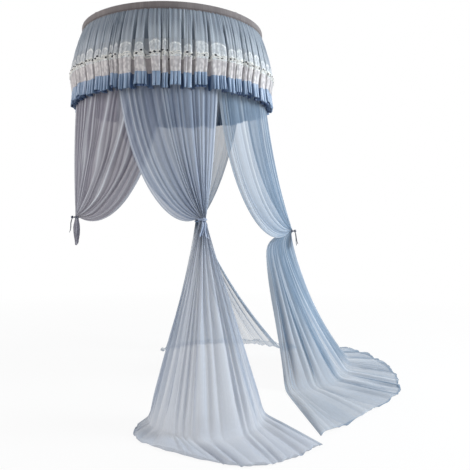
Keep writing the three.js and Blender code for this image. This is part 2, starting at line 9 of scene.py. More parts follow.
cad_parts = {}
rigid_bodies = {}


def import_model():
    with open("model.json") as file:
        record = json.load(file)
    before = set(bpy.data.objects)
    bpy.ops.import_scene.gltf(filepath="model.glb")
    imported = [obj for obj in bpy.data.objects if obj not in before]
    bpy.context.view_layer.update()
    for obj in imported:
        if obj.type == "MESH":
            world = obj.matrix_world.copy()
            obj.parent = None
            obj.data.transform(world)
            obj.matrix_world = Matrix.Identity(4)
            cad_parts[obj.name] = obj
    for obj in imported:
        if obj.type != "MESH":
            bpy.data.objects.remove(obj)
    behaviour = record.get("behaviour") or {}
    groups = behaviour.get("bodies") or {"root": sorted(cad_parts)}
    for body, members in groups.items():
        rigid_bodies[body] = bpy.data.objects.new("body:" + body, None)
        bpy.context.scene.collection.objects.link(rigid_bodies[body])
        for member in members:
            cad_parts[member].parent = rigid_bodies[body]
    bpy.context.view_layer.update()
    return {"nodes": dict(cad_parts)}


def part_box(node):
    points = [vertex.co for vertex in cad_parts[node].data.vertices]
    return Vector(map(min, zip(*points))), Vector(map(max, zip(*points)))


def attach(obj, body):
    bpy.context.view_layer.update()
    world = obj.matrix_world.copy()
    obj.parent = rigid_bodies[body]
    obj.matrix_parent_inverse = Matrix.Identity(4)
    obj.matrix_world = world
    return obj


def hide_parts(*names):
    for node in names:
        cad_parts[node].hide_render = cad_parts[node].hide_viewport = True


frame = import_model()

TURN = 2 * pi
DEGREE = pi / 180
UP = array([0.0, 0.0, 1.0])
FLOOR = -2.615
HOOP = 0.6

# The camera fitted to the photograph: frame, focal length and shift in its pixels, and the eye's place
FRAME_PX, FOCAL_PX, SHIFT_PX, SENSOR_MM = 470, 553, -10, 36
EYE = (0.421, -3.795, -1.515)

# The valance's seams, the header band's radii, and the skirt's radius in the band
HEADER_TOP, HEADER_BOTTOM = -0.223, -0.266
LACE_TOP, FLOUNCE_TOP, RUFFLE_TOP, RUFFLE_HEM = -0.452, -0.557, -0.646, -0.728
HEADER_OUT, HEADER_IN, SKIRT_R = 0.6066, 0.5934, 0.6047
TUCK_IN = 0.02
LACE_LIFT = 0.0014
PLEATS = 60
RIPPLES = 190


# ---- camera and lamps
def put_in_scene(name, data, location=(0, 0, 0), rotation=(0, 0, 0)):
    obj = bpy.data.objects.new(name, data)
    obj.location, obj.rotation_euler = location, rotation
    bpy.context.collection.objects.link(obj)
    return obj


def camera():
    data = bpy.data.cameras.new("camera")
    data.sensor_fit = "HORIZONTAL"
    data.sensor_width = SENSOR_MM
    data.lens = FOCAL_PX / FRAME_PX * SENSOR_MM
    data.shift_y = SHIFT_PX / FRAME_PX
    data.clip_end = 60
    bpy.context.scene.camera = put_in_scene("camera", data, EYE, (90 * DEGREE, 0, 0))


def area_lamp(name, place, target, size, power, color):
    data = bpy.data.lights.new(name, "AREA")
    data.shape, data.size, data.energy, data.color = "DISK", size, power, color
    aim = Vector(array(target, float) - array(place, float))
    put_in_scene(name, data, place, aim.to_track_quat("-Z", "Y").to_euler())


# ---- node helpers
def linear(code, gain=1.0):
    """A display colour written as 0xRRGGBB, as the linear colour that a shader takes."""
    parts = [(code >> shift & 255) / 255 for shift in (16, 8, 0)]
    return (*(gain * (p / 12.92 if p <= 0.04045 else ((p + 0.055) / 1.055) ** 2.4) for p in parts), 1.0)


class Nodes:
    """A short way to write a node tree. A colour is a 0xRRGGBB code or a linear colour."""

    def __init__(self, owner, output="OutputMaterial"):
        owner.use_nodes = True
        self.owner, self.tree = owner, owner.node_tree
        self.tree.nodes.clear()
        self.out = self.add(output)

    def add(self, kind, props=None, **inputs):
        """A node; its inputs are given by name, or as i0, i1 and so on by number."""
        node = self.tree.nodes.new("ShaderNode" + kind)
        for key, value in (props or {}).items():
            setattr(node, key, value)
        for key, value in inputs.items():
            by_number = key[0] == "i" and key[1:].isdigit()
            socket = node.inputs[int(key[1:]) if by_number else key.replace("_", " ")]
            if isinstance(value, bpy.types.NodeSocket):
                self.tree.links.new(value, socket)
            else:
                coded = isinstance(value, int) and socket.type == "RGBA"
                socket.default_value = linear(value) if coded else value
        return node

    def finish(self, node):
        self.tree.links.new(node.outputs[0], self.out.inputs[0])
        return self.owner

    def surface(self, color, rough, normal, sheen=0.0, gloss=0.5, **inputs):
        return self.finish(self.add("BsdfPrincipled", Base_Color=color, Roughness=rough, Normal=normal,
                                    Sheen_Weight=sheen, Specular_IOR_Level=gloss, **inputs))

    def math(self, op, a, b, clamp=False):
        return self.add("Math", {"operation": op, "use_clamp": clamp}, i0=a, i1=b).outputs[0]

    def times(self, a, b):
        return self.math("MULTIPLY", a, b)

    def line(self, value, gain, start):
        return self.math("ADD", self.times(value, gain), start)

    def total(self, a, share_a, b, share_b, clamp=False):
        return self.math("ADD", self.times(a, share_a), self.times(b, share_b), clamp)

    def mix(self, share, a, b):
        return self.add("Mix", {"data_type": "RGBA"}, i0=share, i6=a, i7=b).outputs[2]

    def ramp(self, share, low, high):
        return self.add("MapRange", {"clamp": True}, i0=share, i1=low, i2=high, i3=0.0, i4=1.0).outputs[0]

    def attributes(self, *names):
        return [self.add("Attribute", {"attribute_name": name}).outputs["Fac"] for name in names]

    def uv(self, scale_u=1.0, scale_v=1.0):
        uv = self.add("UVMap", {"uv_map": "cloth"})
        return self.add("Mapping", i0=uv.outputs[0], i3=(scale_u, scale_v, 1.0)).outputs[0]

    def objects(self, scale=(1.0, 1.0, 1.0)):
        place = self.add("TexCoord").outputs["Object"]
        return self.add("Mapping", i0=place, i3=scale).outputs[0]

    def noise(self, vector, scale, detail=3.0):
        node = self.add("TexNoise", Vector=vector, Scale=scale, Detail=detail, Roughness=0.55)
        return node.outputs["Fac"]

    def cells(self, feature, scale, stretch=1.0):
        node = self.add("TexVoronoi", {"feature": feature}, Vector=self.uv(1.0, stretch), Scale=scale)
        return node.outputs["Distance"]

    def bands(self, direction, vector, scale):
        node = self.add("TexWave", {"bands_direction": direction}, Vector=vector, Scale=scale)
        return node.outputs["Fac"]

    def weave(self, pitch):
        """Plain weave: threads over and under each other, from the cloth's own measure."""
        scale = 1 / pitch / TURN * 10
        return self.times(self.bands("X", self.uv(), scale), self.bands("Y", self.uv(), scale))

    def bump(self, height, distance, strength, normal=None):
        under = {} if normal is None else {"Normal": normal}
        return self.add("Bump", Height=height, Distance=distance, Strength=strength, **under).outputs[0]

    def seen(self):
        """1 for the rays that show the background itself, 0 for those that only light the object."""
        path = self.add("LightPath").outputs
        direct = self.math("MAXIMUM", path["Is Camera Ray"], path["Is Glossy Ray"])
        return self.math("MAXIMUM", direct, path["Is Transmission Ray"])


# ---- materials
def material(name):
    return Nodes(bpy.data.materials.new(name))


def sheer_look(name, pale, mid, deep):
    """Fine net: how much it covers comes from how closely it is gathered, stored on the mesh."""
    n = material(name)
    cover, crest, fold = n.attributes("cover", "crest", "deep")
    streak = n.noise(n.uv(48, 0.8), 1.0, 2.0)
    tone = n.total(streak, 0.5, n.noise(n.objects(), 2.6), 0.5)
    color = n.mix(n.ramp(tone, 0.34, 0.68), mid, pale)
    # Painted shade: the net darkens towards its fold-shade colour in furrows and recesses, partly for the
    # denser gathered net and partly for the shade that falls there.
    color = n.mix(n.times(fold, 0.9), color, deep)
    # Painted highlight: the crest attribute pales the net towards 0xE3EAF2 on fold crests, on the skirt's
    # pleat faces, along the panels' hems and over the front and back panels below their ties.
    color = n.mix(n.times(crest, 0.85), color, 0xE3EAF2)
    thread = n.ramp(n.cells("DISTANCE_TO_EDGE", 520.0), 0.16, 0.04)
    woven = n.times(cover, n.line(thread, 0.16, 0.9))
    alpha = n.times(woven, n.line(streak, 0.36, 0.82))
    alpha = n.math("ADD", alpha, n.times(n.math("MAXIMUM", crest, fold), 0.22), clamp=True)
    bump = n.bump(streak, 0.002, 0.5, n.bump(thread, 0.0002, 0.5))
    return n.surface(color, 0.7, bump, 0.35, 0.25, Alpha=alpha, Sheen_Roughness=0.5)


def lace_look():
    """Net with white embroidered arches on the fold crests, closing into a full lace below."""
    n = material("lace_net")
    cover, fold, arch = n.attributes("cover", "deep", "arch")
    thread = n.ramp(n.cells("DISTANCE_TO_EDGE", 330.0), 0.2, 0.05)
    leaf = n.ramp(n.cells("SMOOTH_F1", 95.0, 0.8), 0.5, 0.36)
    stitched = n.times(arch, n.line(leaf, 0.5, 0.5))
    # Painted shade: the lace darkens towards 0x8E9197 in the pleats' recesses and furrows.
    color = n.mix(n.times(fold, 0.8), n.mix(stitched, 0xA9B2BC, 0xEDF0F0), 0x8E9197)
    fill = n.math("MAXIMUM", thread, stitched)
    alpha = n.math("MULTIPLY", cover, n.line(fill, 0.2, 0.84), clamp=True)
    bump = n.bump(stitched, 0.0014, 0.9, n.bump(thread, 0.0004, 0.6))
    return n.surface(color, 0.8, bump, 0.2, 0.25, Alpha=alpha)


def cotton_look(name, pale, deep, pitch=0.0009, sprigs=None):
    """Woven cotton with fine creases, and small embroidered sprigs where their colour is given."""
    n = material(name)
    if sprigs:
        pale = n.mix(n.ramp(n.cells("SMOOTH_F1", 70.0, 0.7), 0.55, 0.30), pale, sprigs)
    # Painted shade: the cotton darkens towards its fold-shade colour in folds and recesses, with a little
    # random tone from the noise.
    shade = n.total(*n.attributes("deep"), 0.85, n.noise(n.objects(), 14.0, 4.0), 0.15, clamp=True)
    crease = n.noise(n.uv(55, 9), 1.0, 4.0)
    bump = n.bump(crease, 0.0015, 0.5, n.bump(n.weave(pitch), 0.0003, 0.5))
    return n.surface(n.mix(shade, pale, deep), 0.85, bump, 0.25, 0.2)


def satin_look(name, pale, deep):
    n = material(name)
    cloud = n.noise(n.uv(60, 14), 1.0)
    # Painted shade: the satin darkens towards its fold-shade colour in folds and recesses, with a cloudy
    # random tone.
    shade = n.total(*n.attributes("deep"), 0.9, n.ramp(cloud, 0.4, 0.75), 0.2, clamp=True)
    bump = n.bump(cloud, 0.0015, 0.5, n.bump(n.bands("Y", n.uv(), 1400.0), 0.0001, 0.4))
    rough = n.line(cloud, 0.18, 0.26)
    return n.surface(n.mix(shade, pale, deep), rough, bump, 0.3, 0.6, Sheen_Roughness=0.3)


def webbing_look():
    n = material("webbing_weave")
    weave = n.weave(0.0022)
    color = n.mix(n.times(weave, n.noise(n.objects(), 60.0)), 0xB9B7B2, 0xE4E2DE)
    return n.surface(color, 0.85, n.bump(weave, 0.0006, 0.8), gloss=0.25)


def thread_look(name, code):
    n = material(name)
    twist = n.bands("DIAGONAL", n.objects(), 420.0)
    color = n.mix(n.times(n.noise(n.objects(), 90.0, 2.0), 0.5), code, linear(code, 0.6))
    return n.surface(color, 0.6, n.bump(twist, 0.0003, 0.6), 0.2, 0.35)


def metal_look(name, code, least_rough):
    n = material(name)
    grain = n.noise(n.objects((1.0, 1.0, 14.0)), 90.0, 4.0)
    color = n.mix(n.ramp(n.noise(n.objects(), 30.0), 0.35, 0.75), code, linear(code, 0.72))
    rough = n.line(grain, 0.22, least_rough)
    return n.surface(color, rough, n.bump(grain, 0.0002, 0.35), Metallic=1.0)


def floor_look():
    """Takes shadows near the object and turns into the white background further out."""
    n = material("studio_floor")
    matte = n.add("BsdfPrincipled", Base_Color=(0.9, 0.9, 0.9, 1.0), Roughness=0.9)
    glow = n.add("Emission", Color=0xFFFFFF, Strength=1.0)
    away = n.add("VectorMath", {"operation": "LENGTH"}, i0=n.objects()).outputs["Value"]
    share = n.times(n.seen(), n.line(n.ramp(away, 1.8, 5.5), 0.09, 0.91))
    return n.finish(n.add("MixShader", i0=share, i1=matte.outputs[0], i2=glow.outputs[0]))


def world():
    """White where it is seen, and a weaker sky that lights the object."""
    n = Nodes(bpy.data.worlds.new("studio"), "OutputWorld")
    sky = n.add("Background", Color=(0.97, 0.98, 1.0, 1.0), Strength=0.28)
    white = n.add("Background", Color=0xFFFFFF, Strength=1.0)
    mix = n.add("MixShader", i0=n.seen(), i1=sky.outputs[0], i2=white.outputs[0])
    bpy.context.scene.world = n.finish(mix)


# ---- meshes
def ring(radius, angle, z):
    """Points round the crown's middle; the angle starts at the front and grows to the right."""
    radius, angle, z = np.broadcast_arrays(np.asarray(radius, float), angle, z)
    return stack([radius * sin(angle), -radius * cos(angle), z], axis=-1)


def length(v):
    return np.linalg.norm(v, axis=-1)


def unit(v):
    return v / maximum(length(v)[..., None], 1e-12)


def steps(grid, axis):
    """Distances between neighbouring points."""
    return length(diff(grid, axis=axis))


def ease(low, high, x):
    t = clamp((x - low) / (high - low))
    return t * t * (3 - 2 * t)


def clamp(x):
    return clip(x, 0, 1)


def running(x):
    """The sum so far, from 0."""
    return concatenate([[0], np.cumsum(x)])


def bell(x, width):
    return exp(-((x / width) ** 2))


def lerp(a, b, t):
    return a + (b - a) * t


def numbered(rows, columns):
    return arange(rows * columns).reshape(rows, columns)


def grid_faces(at, closed=True):
    """Quads between points numbered in a grid; closed joins the last column to the first."""
    right = np.roll(at, -1, axis=1) if closed else at[:, 1:]
    left = at if closed else at[:, :-1]
    return stack([left[:-1], left[1:], right[1:], right[:-1]], axis=-1).reshape(-1, 4).tolist()


def capped(at, way=1):
    """The faces of a tube of points with both ends closed; way is 1 or -1, as the tube is wound."""
    return grid_faces(at) + [at[0][::way].tolist(), at[-1][::-way].tolist()]


def make_mesh(name, points, faces, look, uv=None, attributes=None):
    mesh = bpy.data.meshes.new(name)
    mesh.from_pydata(np.asarray(points).reshape(-1, 3).tolist(), [], faces)
    mesh.materials.append(MAT[look])
    if uv is not None:
        layer = mesh.uv_layers.new(name="cloth")
        loops = np.zeros(len(mesh.loops), np.int32)
        mesh.loops.foreach_get("vertex_index", loops)
        layer.data.foreach_set("uv", np.asarray(uv, np.float32).reshape(-1, 2)[loops].ravel())
    for key, values in (attributes or {}).items():
        made = mesh.attributes.new(key, "FLOAT", "POINT")
        made.data.foreach_set("value", np.asarray(values, np.float32).ravel())
    mesh.shade_smooth()
    mesh.validate()
    obj = put_in_scene(name, mesh)
    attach(obj, "crown")
    return obj


def cloth(name, grid, look, slot, closed=True, **attributes):
    """A sheet from a grid of points, rows down and columns across, with its own measure in metres as UV."""
    u, v = (running(steps(grid, axis).mean(axis=1 - axis)) for axis in (1, 0))
    uv = stack(meshgrid(u, v), axis=-1)
    return make_mesh(name, grid, grid_faces(numbered(*grid.shape[:2]), closed), look, uv, attributes)


def tube_mesh(path, radius, sides, closed=False):
    """Points and faces of a round tube along a path."""
    path = np.asarray(path, float)
    tangent = unit(np.roll(path, -1, 0) - np.roll(path, 1, 0) if closed else np.gradient(path, axis=0))
    up = UP + 0 * tangent
    up[abs(tangent[:, 2]) > 0.95] = (1.0, 0.0, 0.0)
    side = unit(np.cross(tangent, up))
    other = np.cross(side, tangent)
    angle = (arange(sides) * TURN / sides)[None, :, None]
    points = path[:, None] + radius * (cos(angle) * side[:, None] + sin(angle) * other[:, None])
    at = numbered(len(path), sides)
    faces = grid_faces(concatenate([at, at[:1]])) if closed else capped(at)
    return points.reshape(-1, 3), faces


class Parts:
    """Collects many small solids into one mesh."""

    def __init__(self):
        self.points, self.faces, self.count = [], [], 0

    def add(self, points, faces):
        self.points.append(points)
        self.faces.extend([[i + self.count for i in f] for f in faces])
        self.count += len(points)

    def build(self, name, look, slot):
        return make_mesh(name, concatenate(self.points), self.faces, look)


def blob(centre, axes, sizes, rings, sides=8):
    """A small rounded bead, leaf or petal, as points and faces."""
    h, a = meshgrid(pi * arange(1, rings) / rings, arange(sides) * TURN / sides, indexing="ij")
    local = stack([sin(h) * cos(a), sin(h) * sin(a), cos(h)], axis=-1).reshape(-1, 3)
    local = concatenate([local, [UP, -UP]]) * sizes
    faces = grid_faces(numbered(rings - 1, sides))
    last, top = (rings - 2) * sides, (rings - 1) * sides
    for j in range(sides):
        k = (j + 1) % sides
        faces += [[top, j, k], [top + 1, last + k, last + j]]
    return centre + local @ axes, faces


# ---- folds
def uneven(count, seed, spread):
    """Edges from 0 to 1 of folds of uneven width."""
    width = 1 + spread * (2 * RandomState(seed).rand(count) - 1)
    return running(width) / width.sum()


def within(edges, u):
    """Which fold a share u falls in, and how far across it."""
    k = clip(np.searchsorted(edges, u, side="right") - 1, 0, len(edges) - 2)
    return k, (u - edges[k]) / (edges[k + 1] - edges[k])


def spaced(edges, x):
    """The shares x across every fold, as shares round the whole."""
    return (edges[:-1, None] + diff(edges)[:, None] * x[None]).ravel()


def drift(u, seed, waves):
    """A smooth wandering value from -1 to 1 that closes on itself from u = 0 to 1."""
    rng = RandomState(seed)
    total = 0
    for part in (1, 2, 3, 4):
        total = total + sin(TURN * (rng.randint(1, waves + 1) * u + rng.rand())) / part
    return total / 2.1


def cover_of(grid, base, one, fullness):
    """How much of what is behind the cloth hides, from how much cloth crosses each stretch of it."""
    real, plain = (length(np.gradient(points, axis=1)) for points in (grid, base))
    ratio = clip(real / maximum(plain, 1e-9), 1, 6) * fullness
    return 1 - (1 - one) ** ratio


# ---- valance
# One draw for each pleat: its edges, depth, turned-in sides, gathers, tuck and lean, and the lace's rise
pleat_edges = uneven(PLEATS, 7, 0.56)
ripple_edges = uneven(RIPPLES, 11, 0.5)
chance = RandomState(3).rand(8, PLEATS)
pleat_depth = 0.78 + 0.44 * chance[0]
pad_left, pad_right = 0.05 + 0.08 * chance[1], 0.95 - 0.08 * chance[2]
pleat_gathers = RandomState(5).choice([2, 3, 3, 4], PLEATS)
pleat_tuck = 0.32 + 0.36 * chance[3]
pleat_has_tuck = (chance[4] < 0.6) * (0.5 + 0.5 * chance[5])
pleat_lean = 0.10 * (2 * chance[6] - 1)
lace_rise = chance[7]

# The seams' drops from the ceiling, mean radii, and how fast the radius grows with the drop
SEAM_DROPS = -array([HEADER_BOTTOM, LACE_TOP, FLOUNCE_TOP, RUFFLE_TOP, RUFFLE_HEM])
SEAM_RADII = array([SKIRT_R, 0.655, 0.668, 0.658, 0.660])
SEAM_SLOPES = array([0.42, 0.17, -0.02, -0.05, 0.03])


def mean_radius(z):
    """The valance's radius at a height, on a smooth curve through its seams."""
    drop = clip(-np.asarray(z, float), SEAM_DROPS[0], SEAM_DROPS[-1] + 0.02)
    i = clip(np.searchsorted(SEAM_DROPS, drop) - 1, 0, len(SEAM_DROPS) - 2)
    h = SEAM_DROPS[i + 1] - SEAM_DROPS[i]
    t = (drop - SEAM_DROPS[i]) / h
    return ((2 * t**3 - 3 * t**2 + 1) * SEAM_RADII[i] + (t**3 - 2 * t**2 + t) * h * SEAM_SLOPES[i]
            + (3 * t**2 - 2 * t**3) * SEAM_RADII[i + 1] + (t**3 - t**2) * h * SEAM_SLOPES[i + 1])


def fall_at(z):
    """0 at the header band's lower edge, 1 at the ruffle's seam."""
    return (HEADER_BOTTOM - z) / (HEADER_BOTTOM - RUFFLE_TOP)


def pleat_columns(per_pleat):
    """Shares round the valance, denser where a pleat turns in."""
    fine = linspace(0, 1, 401)
    weight = np.cumsum(1 + 2.2 * bell(fine - 0.19, 0.09) + 2.2 * bell(fine - 0.81, 0.09))
    share = (weight - weight[0]) / (weight[-1] - weight[0])
    return spaced(pleat_edges, np.interp(arange(per_pleat) / per_pleat, share, fine))


def pads(u, fall):
    """The box pleats: which one, how far across it, 0 in a recess to 1 on its face, and its edges' swing."""
    wander = (0.30 * drift(u, 21, 40) + 0.14 * drift(u + 0.02 * fall, 23, 60)) * fall / PLEATS
    k, x = within(pleat_edges, mod(u + wander, 1))
    x = clamp(x + pleat_lean[k] * sin(TURN * x))
    edge = 0.062
    inset = 0.024 * ease(0.3, 1.0, fall)
    left, right = (x - pad_left[k] - inset) / edge, (x - pad_right[k] + inset) / edge
    face = ease(-1, 1, left) * (1 - ease(-1, 1, right))
    swing = -(left * exp(-left * left) + right * exp(-right * right))
    return k, x, face, swing * diff(pleat_edges)[k]


def valance_wave(u, z):
    """The pleated cloth's place about its mean radius, its sideways swing, and the painted shade in its
    gathers, recesses and tucks.
    """
    fall = clamp(fall_at(z))
    k, x, face, swing = pads(u, fall)
    grown = ease(0.02, 0.42, fall)
    depth = lerp(0.009, 0.026, ease(0.1, 0.9, fall)) * pleat_depth[k] * grown
    gather = abs(sin(pi * pleat_gathers[k] * x)) ** 0.8
    fine = 0.0075 * (1 - ease(0.12, 0.75, fall)) * (0.6 + 0.4 * sin(TURN * 7.3 * x + k))
    tuck = bell(x - pleat_tuck[k], 0.06) * pleat_has_tuck[k] * ease(0.1, 0.5, fall)
    puff = 0.10 * (1 - (2 * x - 1) ** 2)
    wave = depth * (face * (0.95 + puff) - 0.6) + fine * (gather - 0.5) - 0.0055 * tuck
    wave = wave + 0.003 * drift(u, 5, 12) * fall
    wave = wave + 0.0012 * sin(TURN * 2.5 * x + 9 * u * PLEATS / 7) * grown
    # Painted shade: darker in the recesses between the box pleats' faces, in the gathers' furrows and in the
    # tucks.
    recess_shade = 0.8 * (1 - face) * ease(0.0, 0.4, fall) * lerp(0.75, 1.0, pleat_depth[k] - 0.25)
    furrow_shade = (1 - gather) ** 1.5 * lerp(1.0, 0.4, ease(0.2, 0.8, fall))
    deep = maximum(maximum(furrow_shade, recess_shade), 0.75 * tuck)
    return wave, 0.10 * swing * grown, clamp(deep)


def scatter(k, start=0.0):
    """A value from -0.5 to 0.5 for each pleat, unlike its neighbours'."""
    return mod(k * 0.618 + start, 1) - 0.5


def hem_sag(u):
    """How much higher than its mean the flounce's seam hangs."""
    k, _, face, _ = pads(u, 1.0)
    return 0.005 * (face - 0.5) + 0.004 * drift(u, 19, 30) + 0.014 * scatter(k) * face


def valance_point(u, z, lift=0.0):
    wave, swing, deep = valance_wave(u, z)
    return ring(mean_radius(z) + wave + lift, TURN * (u + swing), z), deep


def ruffle_point(u, drop, layer):
    """The ruffle: drop runs from 0 at its seam to 1 at its hem; layer 1 is the inner one."""
    z = lerp(RUFFLE_TOP, RUFFLE_HEM, drop)
    k, _, face, swing = pads(mod(u + 0.10 / PLEATS * drift(u, 31 + layer, 60) * drop, 1), 1.0)
    j, across = within(ripple_edges, mod(u + 0.4 * layer / RIPPLES, 1))
    tall = 0.4 + 1.0 * mod(sin(j * 12.9898 + layer * 4.1) * 43758.5453, 1)
    crest = 1 - abs(2 * across - 1) ** 2.0
    amp = lerp(0.0040, 0.0135, drop**0.8) * tall
    depth = lerp(0.027, 0.037, drop) * pleat_depth[k]
    back = 0.007 + 0.006 * drop if layer else -0.0005
    r = mean_radius(z) + depth * (face - 0.6) * (0.8 if layer else 1.0) + amp * (crest - 0.55) - back
    z = z + hem_sag(u) - 0.0045 * drop**1.4 * (crest - 0.5) * tall + 0.004 * drift(u, 77, 30) * drop
    z = z + 0.014 * scatter(k, 0.3 * layer) * drop * face - 0.004 * drop * (1 - face)
    # Painted shade: the ruffle darkens in the recesses and between its flutes.
    furrow_shade = ease(0.35, 0.95, abs(2 * across - 1)) * (0.5 + 0.4 * drop)
    deep = clamp(maximum(0.85 * (1 - face), furrow_shade) + 0.15 * (1 - face))
    return ring(r, TURN * (u + 0.12 * swing), z), deep


def tier(u, z, lift=0.0):
    """A tier's columns and heights, its points, the painted shade in their folds, and its fold-free points.
    """
    U, Z = meshgrid(u, z)
    return U, Z, *valance_point(U, Z, lift), ring(mean_radius(Z), TURN * U, Z)


def valance():
    u = pleat_columns(24)
    tucked = linspace(HEADER_BOTTOM + TUCK_IN, HEADER_BOTTOM, 4)[:-1]
    z = concatenate([tucked, linspace(HEADER_BOTTOM, LACE_TOP - 0.003, 30)])
    U, Z, grid, deep, base = tier(u, z)
    held = clamp((Z - HEADER_BOTTOM) / 0.004)[..., None]
    grid = lerp(grid, ring(SKIRT_R, TURN * U, Z), held)
    cover = clamp(cover_of(grid, base, 0.62, 1.25) + 0.2 * deep)
    # Painted highlight: the skirt pales on its pleats' faces, more towards the bottom.
    face_highlight = 0.30 * ease(0.15, 0.48, fall_at(Z)) * pads(U, fall_at(Z))[2]
    skirt = cloth("valance_skirt_net", grid, "net_skirt", "cool_sheer", cover=cover, deep=deep, crest=face_highlight)
    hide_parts("valance_skirt")

    U, Z, grid, deep, base = tier(u, linspace(LACE_TOP + 0.001, FLOUNCE_TOP - 0.004, 22), LACE_LIFT)
    low = (LACE_TOP - Z) / (LACE_TOP - FLOUNCE_TOP)
    k, x, face, _ = pads(U, fall_at(Z))
    rise = 0.04 + 0.28 * lace_rise[k] + 0.34 * abs(2 * x - 1) ** 2.6 + 0.20 * (1 - face)
    thinner = 0.42 * ease(rise + 0.07, rise + 0.14, low) * (1 - ease(0.6, 0.75, low))
    arch = ease(rise - 0.03, rise + 0.03, low) * (1 - thinner)
    cover = clamp(cover_of(grid, base, 0.8, 1.2) + 0.1)
    lace = cloth("lace_band_net", grid, "lace_net", "lace", cover=cover, deep=deep, arch=arch)
    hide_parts("lace_band")
    extras = embroidery()

    U, Z, grid, deep, _ = tier(u, linspace(FLOUNCE_TOP + 0.004, RUFFLE_TOP - 0.003, 18))
    part = (FLOUNCE_TOP - Z) / (FLOUNCE_TOP - RUFFLE_TOP)
    across = within(ripple_edges, U)[1]
    small = 0.0030 * (0.5 - abs(2 * across - 1) ** 2) * ease(0.0, 1.0, part)
    grid = grid + ring(small, TURN * U, 0 * Z)
    grid[..., 2] += hem_sag(U) * clip(part, 0, None) ** 1.6
    flounce = cloth("cream_flounce_cotton", grid, "cream_cotton", "cream_cloth", deep=deep)
    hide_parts("cream_flounce")

    u = np.sort(concatenate([spaced(ripple_edges, arange(10) / 10), pleat_columns(12)]))
    U, D = meshgrid(u, linspace(0, 1, 13))
    inward = ring(-0.0016, TURN * u, 0.0)[None]
    # The inner layer takes a darker copy of the blue satin: painted shade for the layer behind.
    for layer, (name, look) in enumerate((("outer", "satin_blue"), ("inner", "satin_blue_painted_shade"))):
        grid, deep = ruffle_point(U, D, layer)
        turned, _ = ruffle_point(U[:1], 0.93 + 0 * U[:1], layer)
        grid = concatenate([grid, grid[-1:] + inward * 0.6, turned + inward])
        deep = concatenate([deep, deep[-1:], deep[-1:]])
        cloth(f"satin_ruffle_{name}", grid, look, "blue_satin", deep=deep)
    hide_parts("satin_ruffle")


def embroidery():
    """Raised vines, small flowers and dark beads on the lace, a repeat for each pleat."""
    rng = RandomState(17)
    vines, flowers, beads = Parts(), Parts(), Parts()
    row_fall, row_z = 0.78, -0.537
    u = pleat_columns(16)
    k, x, face, _ = pads(u, row_fall)
    scallop = abs(sin(pi * (1.5 * (x + k) + 0.2 * drift(u, 27, 50))))
    # each vine: its height, how far it sags in a recess, its sway and its radius
    for height, sag, sway, radius in ((-0.549, 0.020, 0.017, 0.0030), (-0.533, 0.020, -0.013, 0.0020),
                                      (-0.556, 0.018, 0.010, 0.0024)):
        z = height - sag * (1 - face) + sway * scallop + 0.004 * drift(u, 9, 40)
        vines.add(*tube_mesh(valance_point(u, z, LACE_LIFT + radius)[0], radius, 5, True))

    def at(j, spot, drop):
        """A place on the lace by its pleat, with the ways out of it and along it."""
        u = array([lerp(pleat_edges[j], pleat_edges[j + 1], spot)])
        face = pads(u, row_fall)[2]
        centre = valance_point(u, row_z - 0.024 * (1 - face) - drop, LACE_LIFT + 0.0022)[0][0]
        out = unit(centre * array([1, 1, 0]))
        return centre, out, array([-out[1], out[0], 0.0])

    def turned(side, a):
        return cos(a) * side + sin(a) * UP, cos(a) * UP - sin(a) * side

    for j in range(PLEATS):
        for spot in (0.34, 0.66, 1.0):
            if rng.rand() < 0.2:
                continue
            centre, out, side = at(j, spot + 0.12 * (rng.rand() - 0.5), 0.026 * (rng.rand() - 0.5))
            size = 0.0062 * (0.8 + 0.4 * rng.rand())
            spin = rng.rand() * TURN
            for petal in range(5):
                along, over = turned(side, spin + petal * TURN / 5)
                flowers.add(*blob(centre + along * size * 0.75, array([along, over, out]),
                                  (size * 0.62, size * 0.42, 0.0012), 4))
            if rng.rand() < 0.92:
                centre = centre + out * 0.0012 + side * size * 0.4 * (rng.rand() - 0.5)
                size = (0.0064 + 0.0034 * rng.rand(), 0.0062, 0.0034)
                beads.add(*blob(centre, array([side, UP, out]), size, 5))
        for _ in range(2):
            if rng.rand() < 0.4:
                continue
            centre, out, side = at(j, rng.rand(), 0.012 + 0.012 * (rng.rand() - 0.5))
            along, _ = turned(side, rng.rand() * TURN)
            beads.add(*blob(centre, array([along, np.cross(out, along), out]), (0.0066, 0.0024, 0.0012), 4))
    return [vines.build("lace_vines", "thread_cream", "lace"),
            flowers.build("lace_flowers", "thread_white", "lace"),
            beads.build("lace_beads", "thread_dark", "slate_satin")]


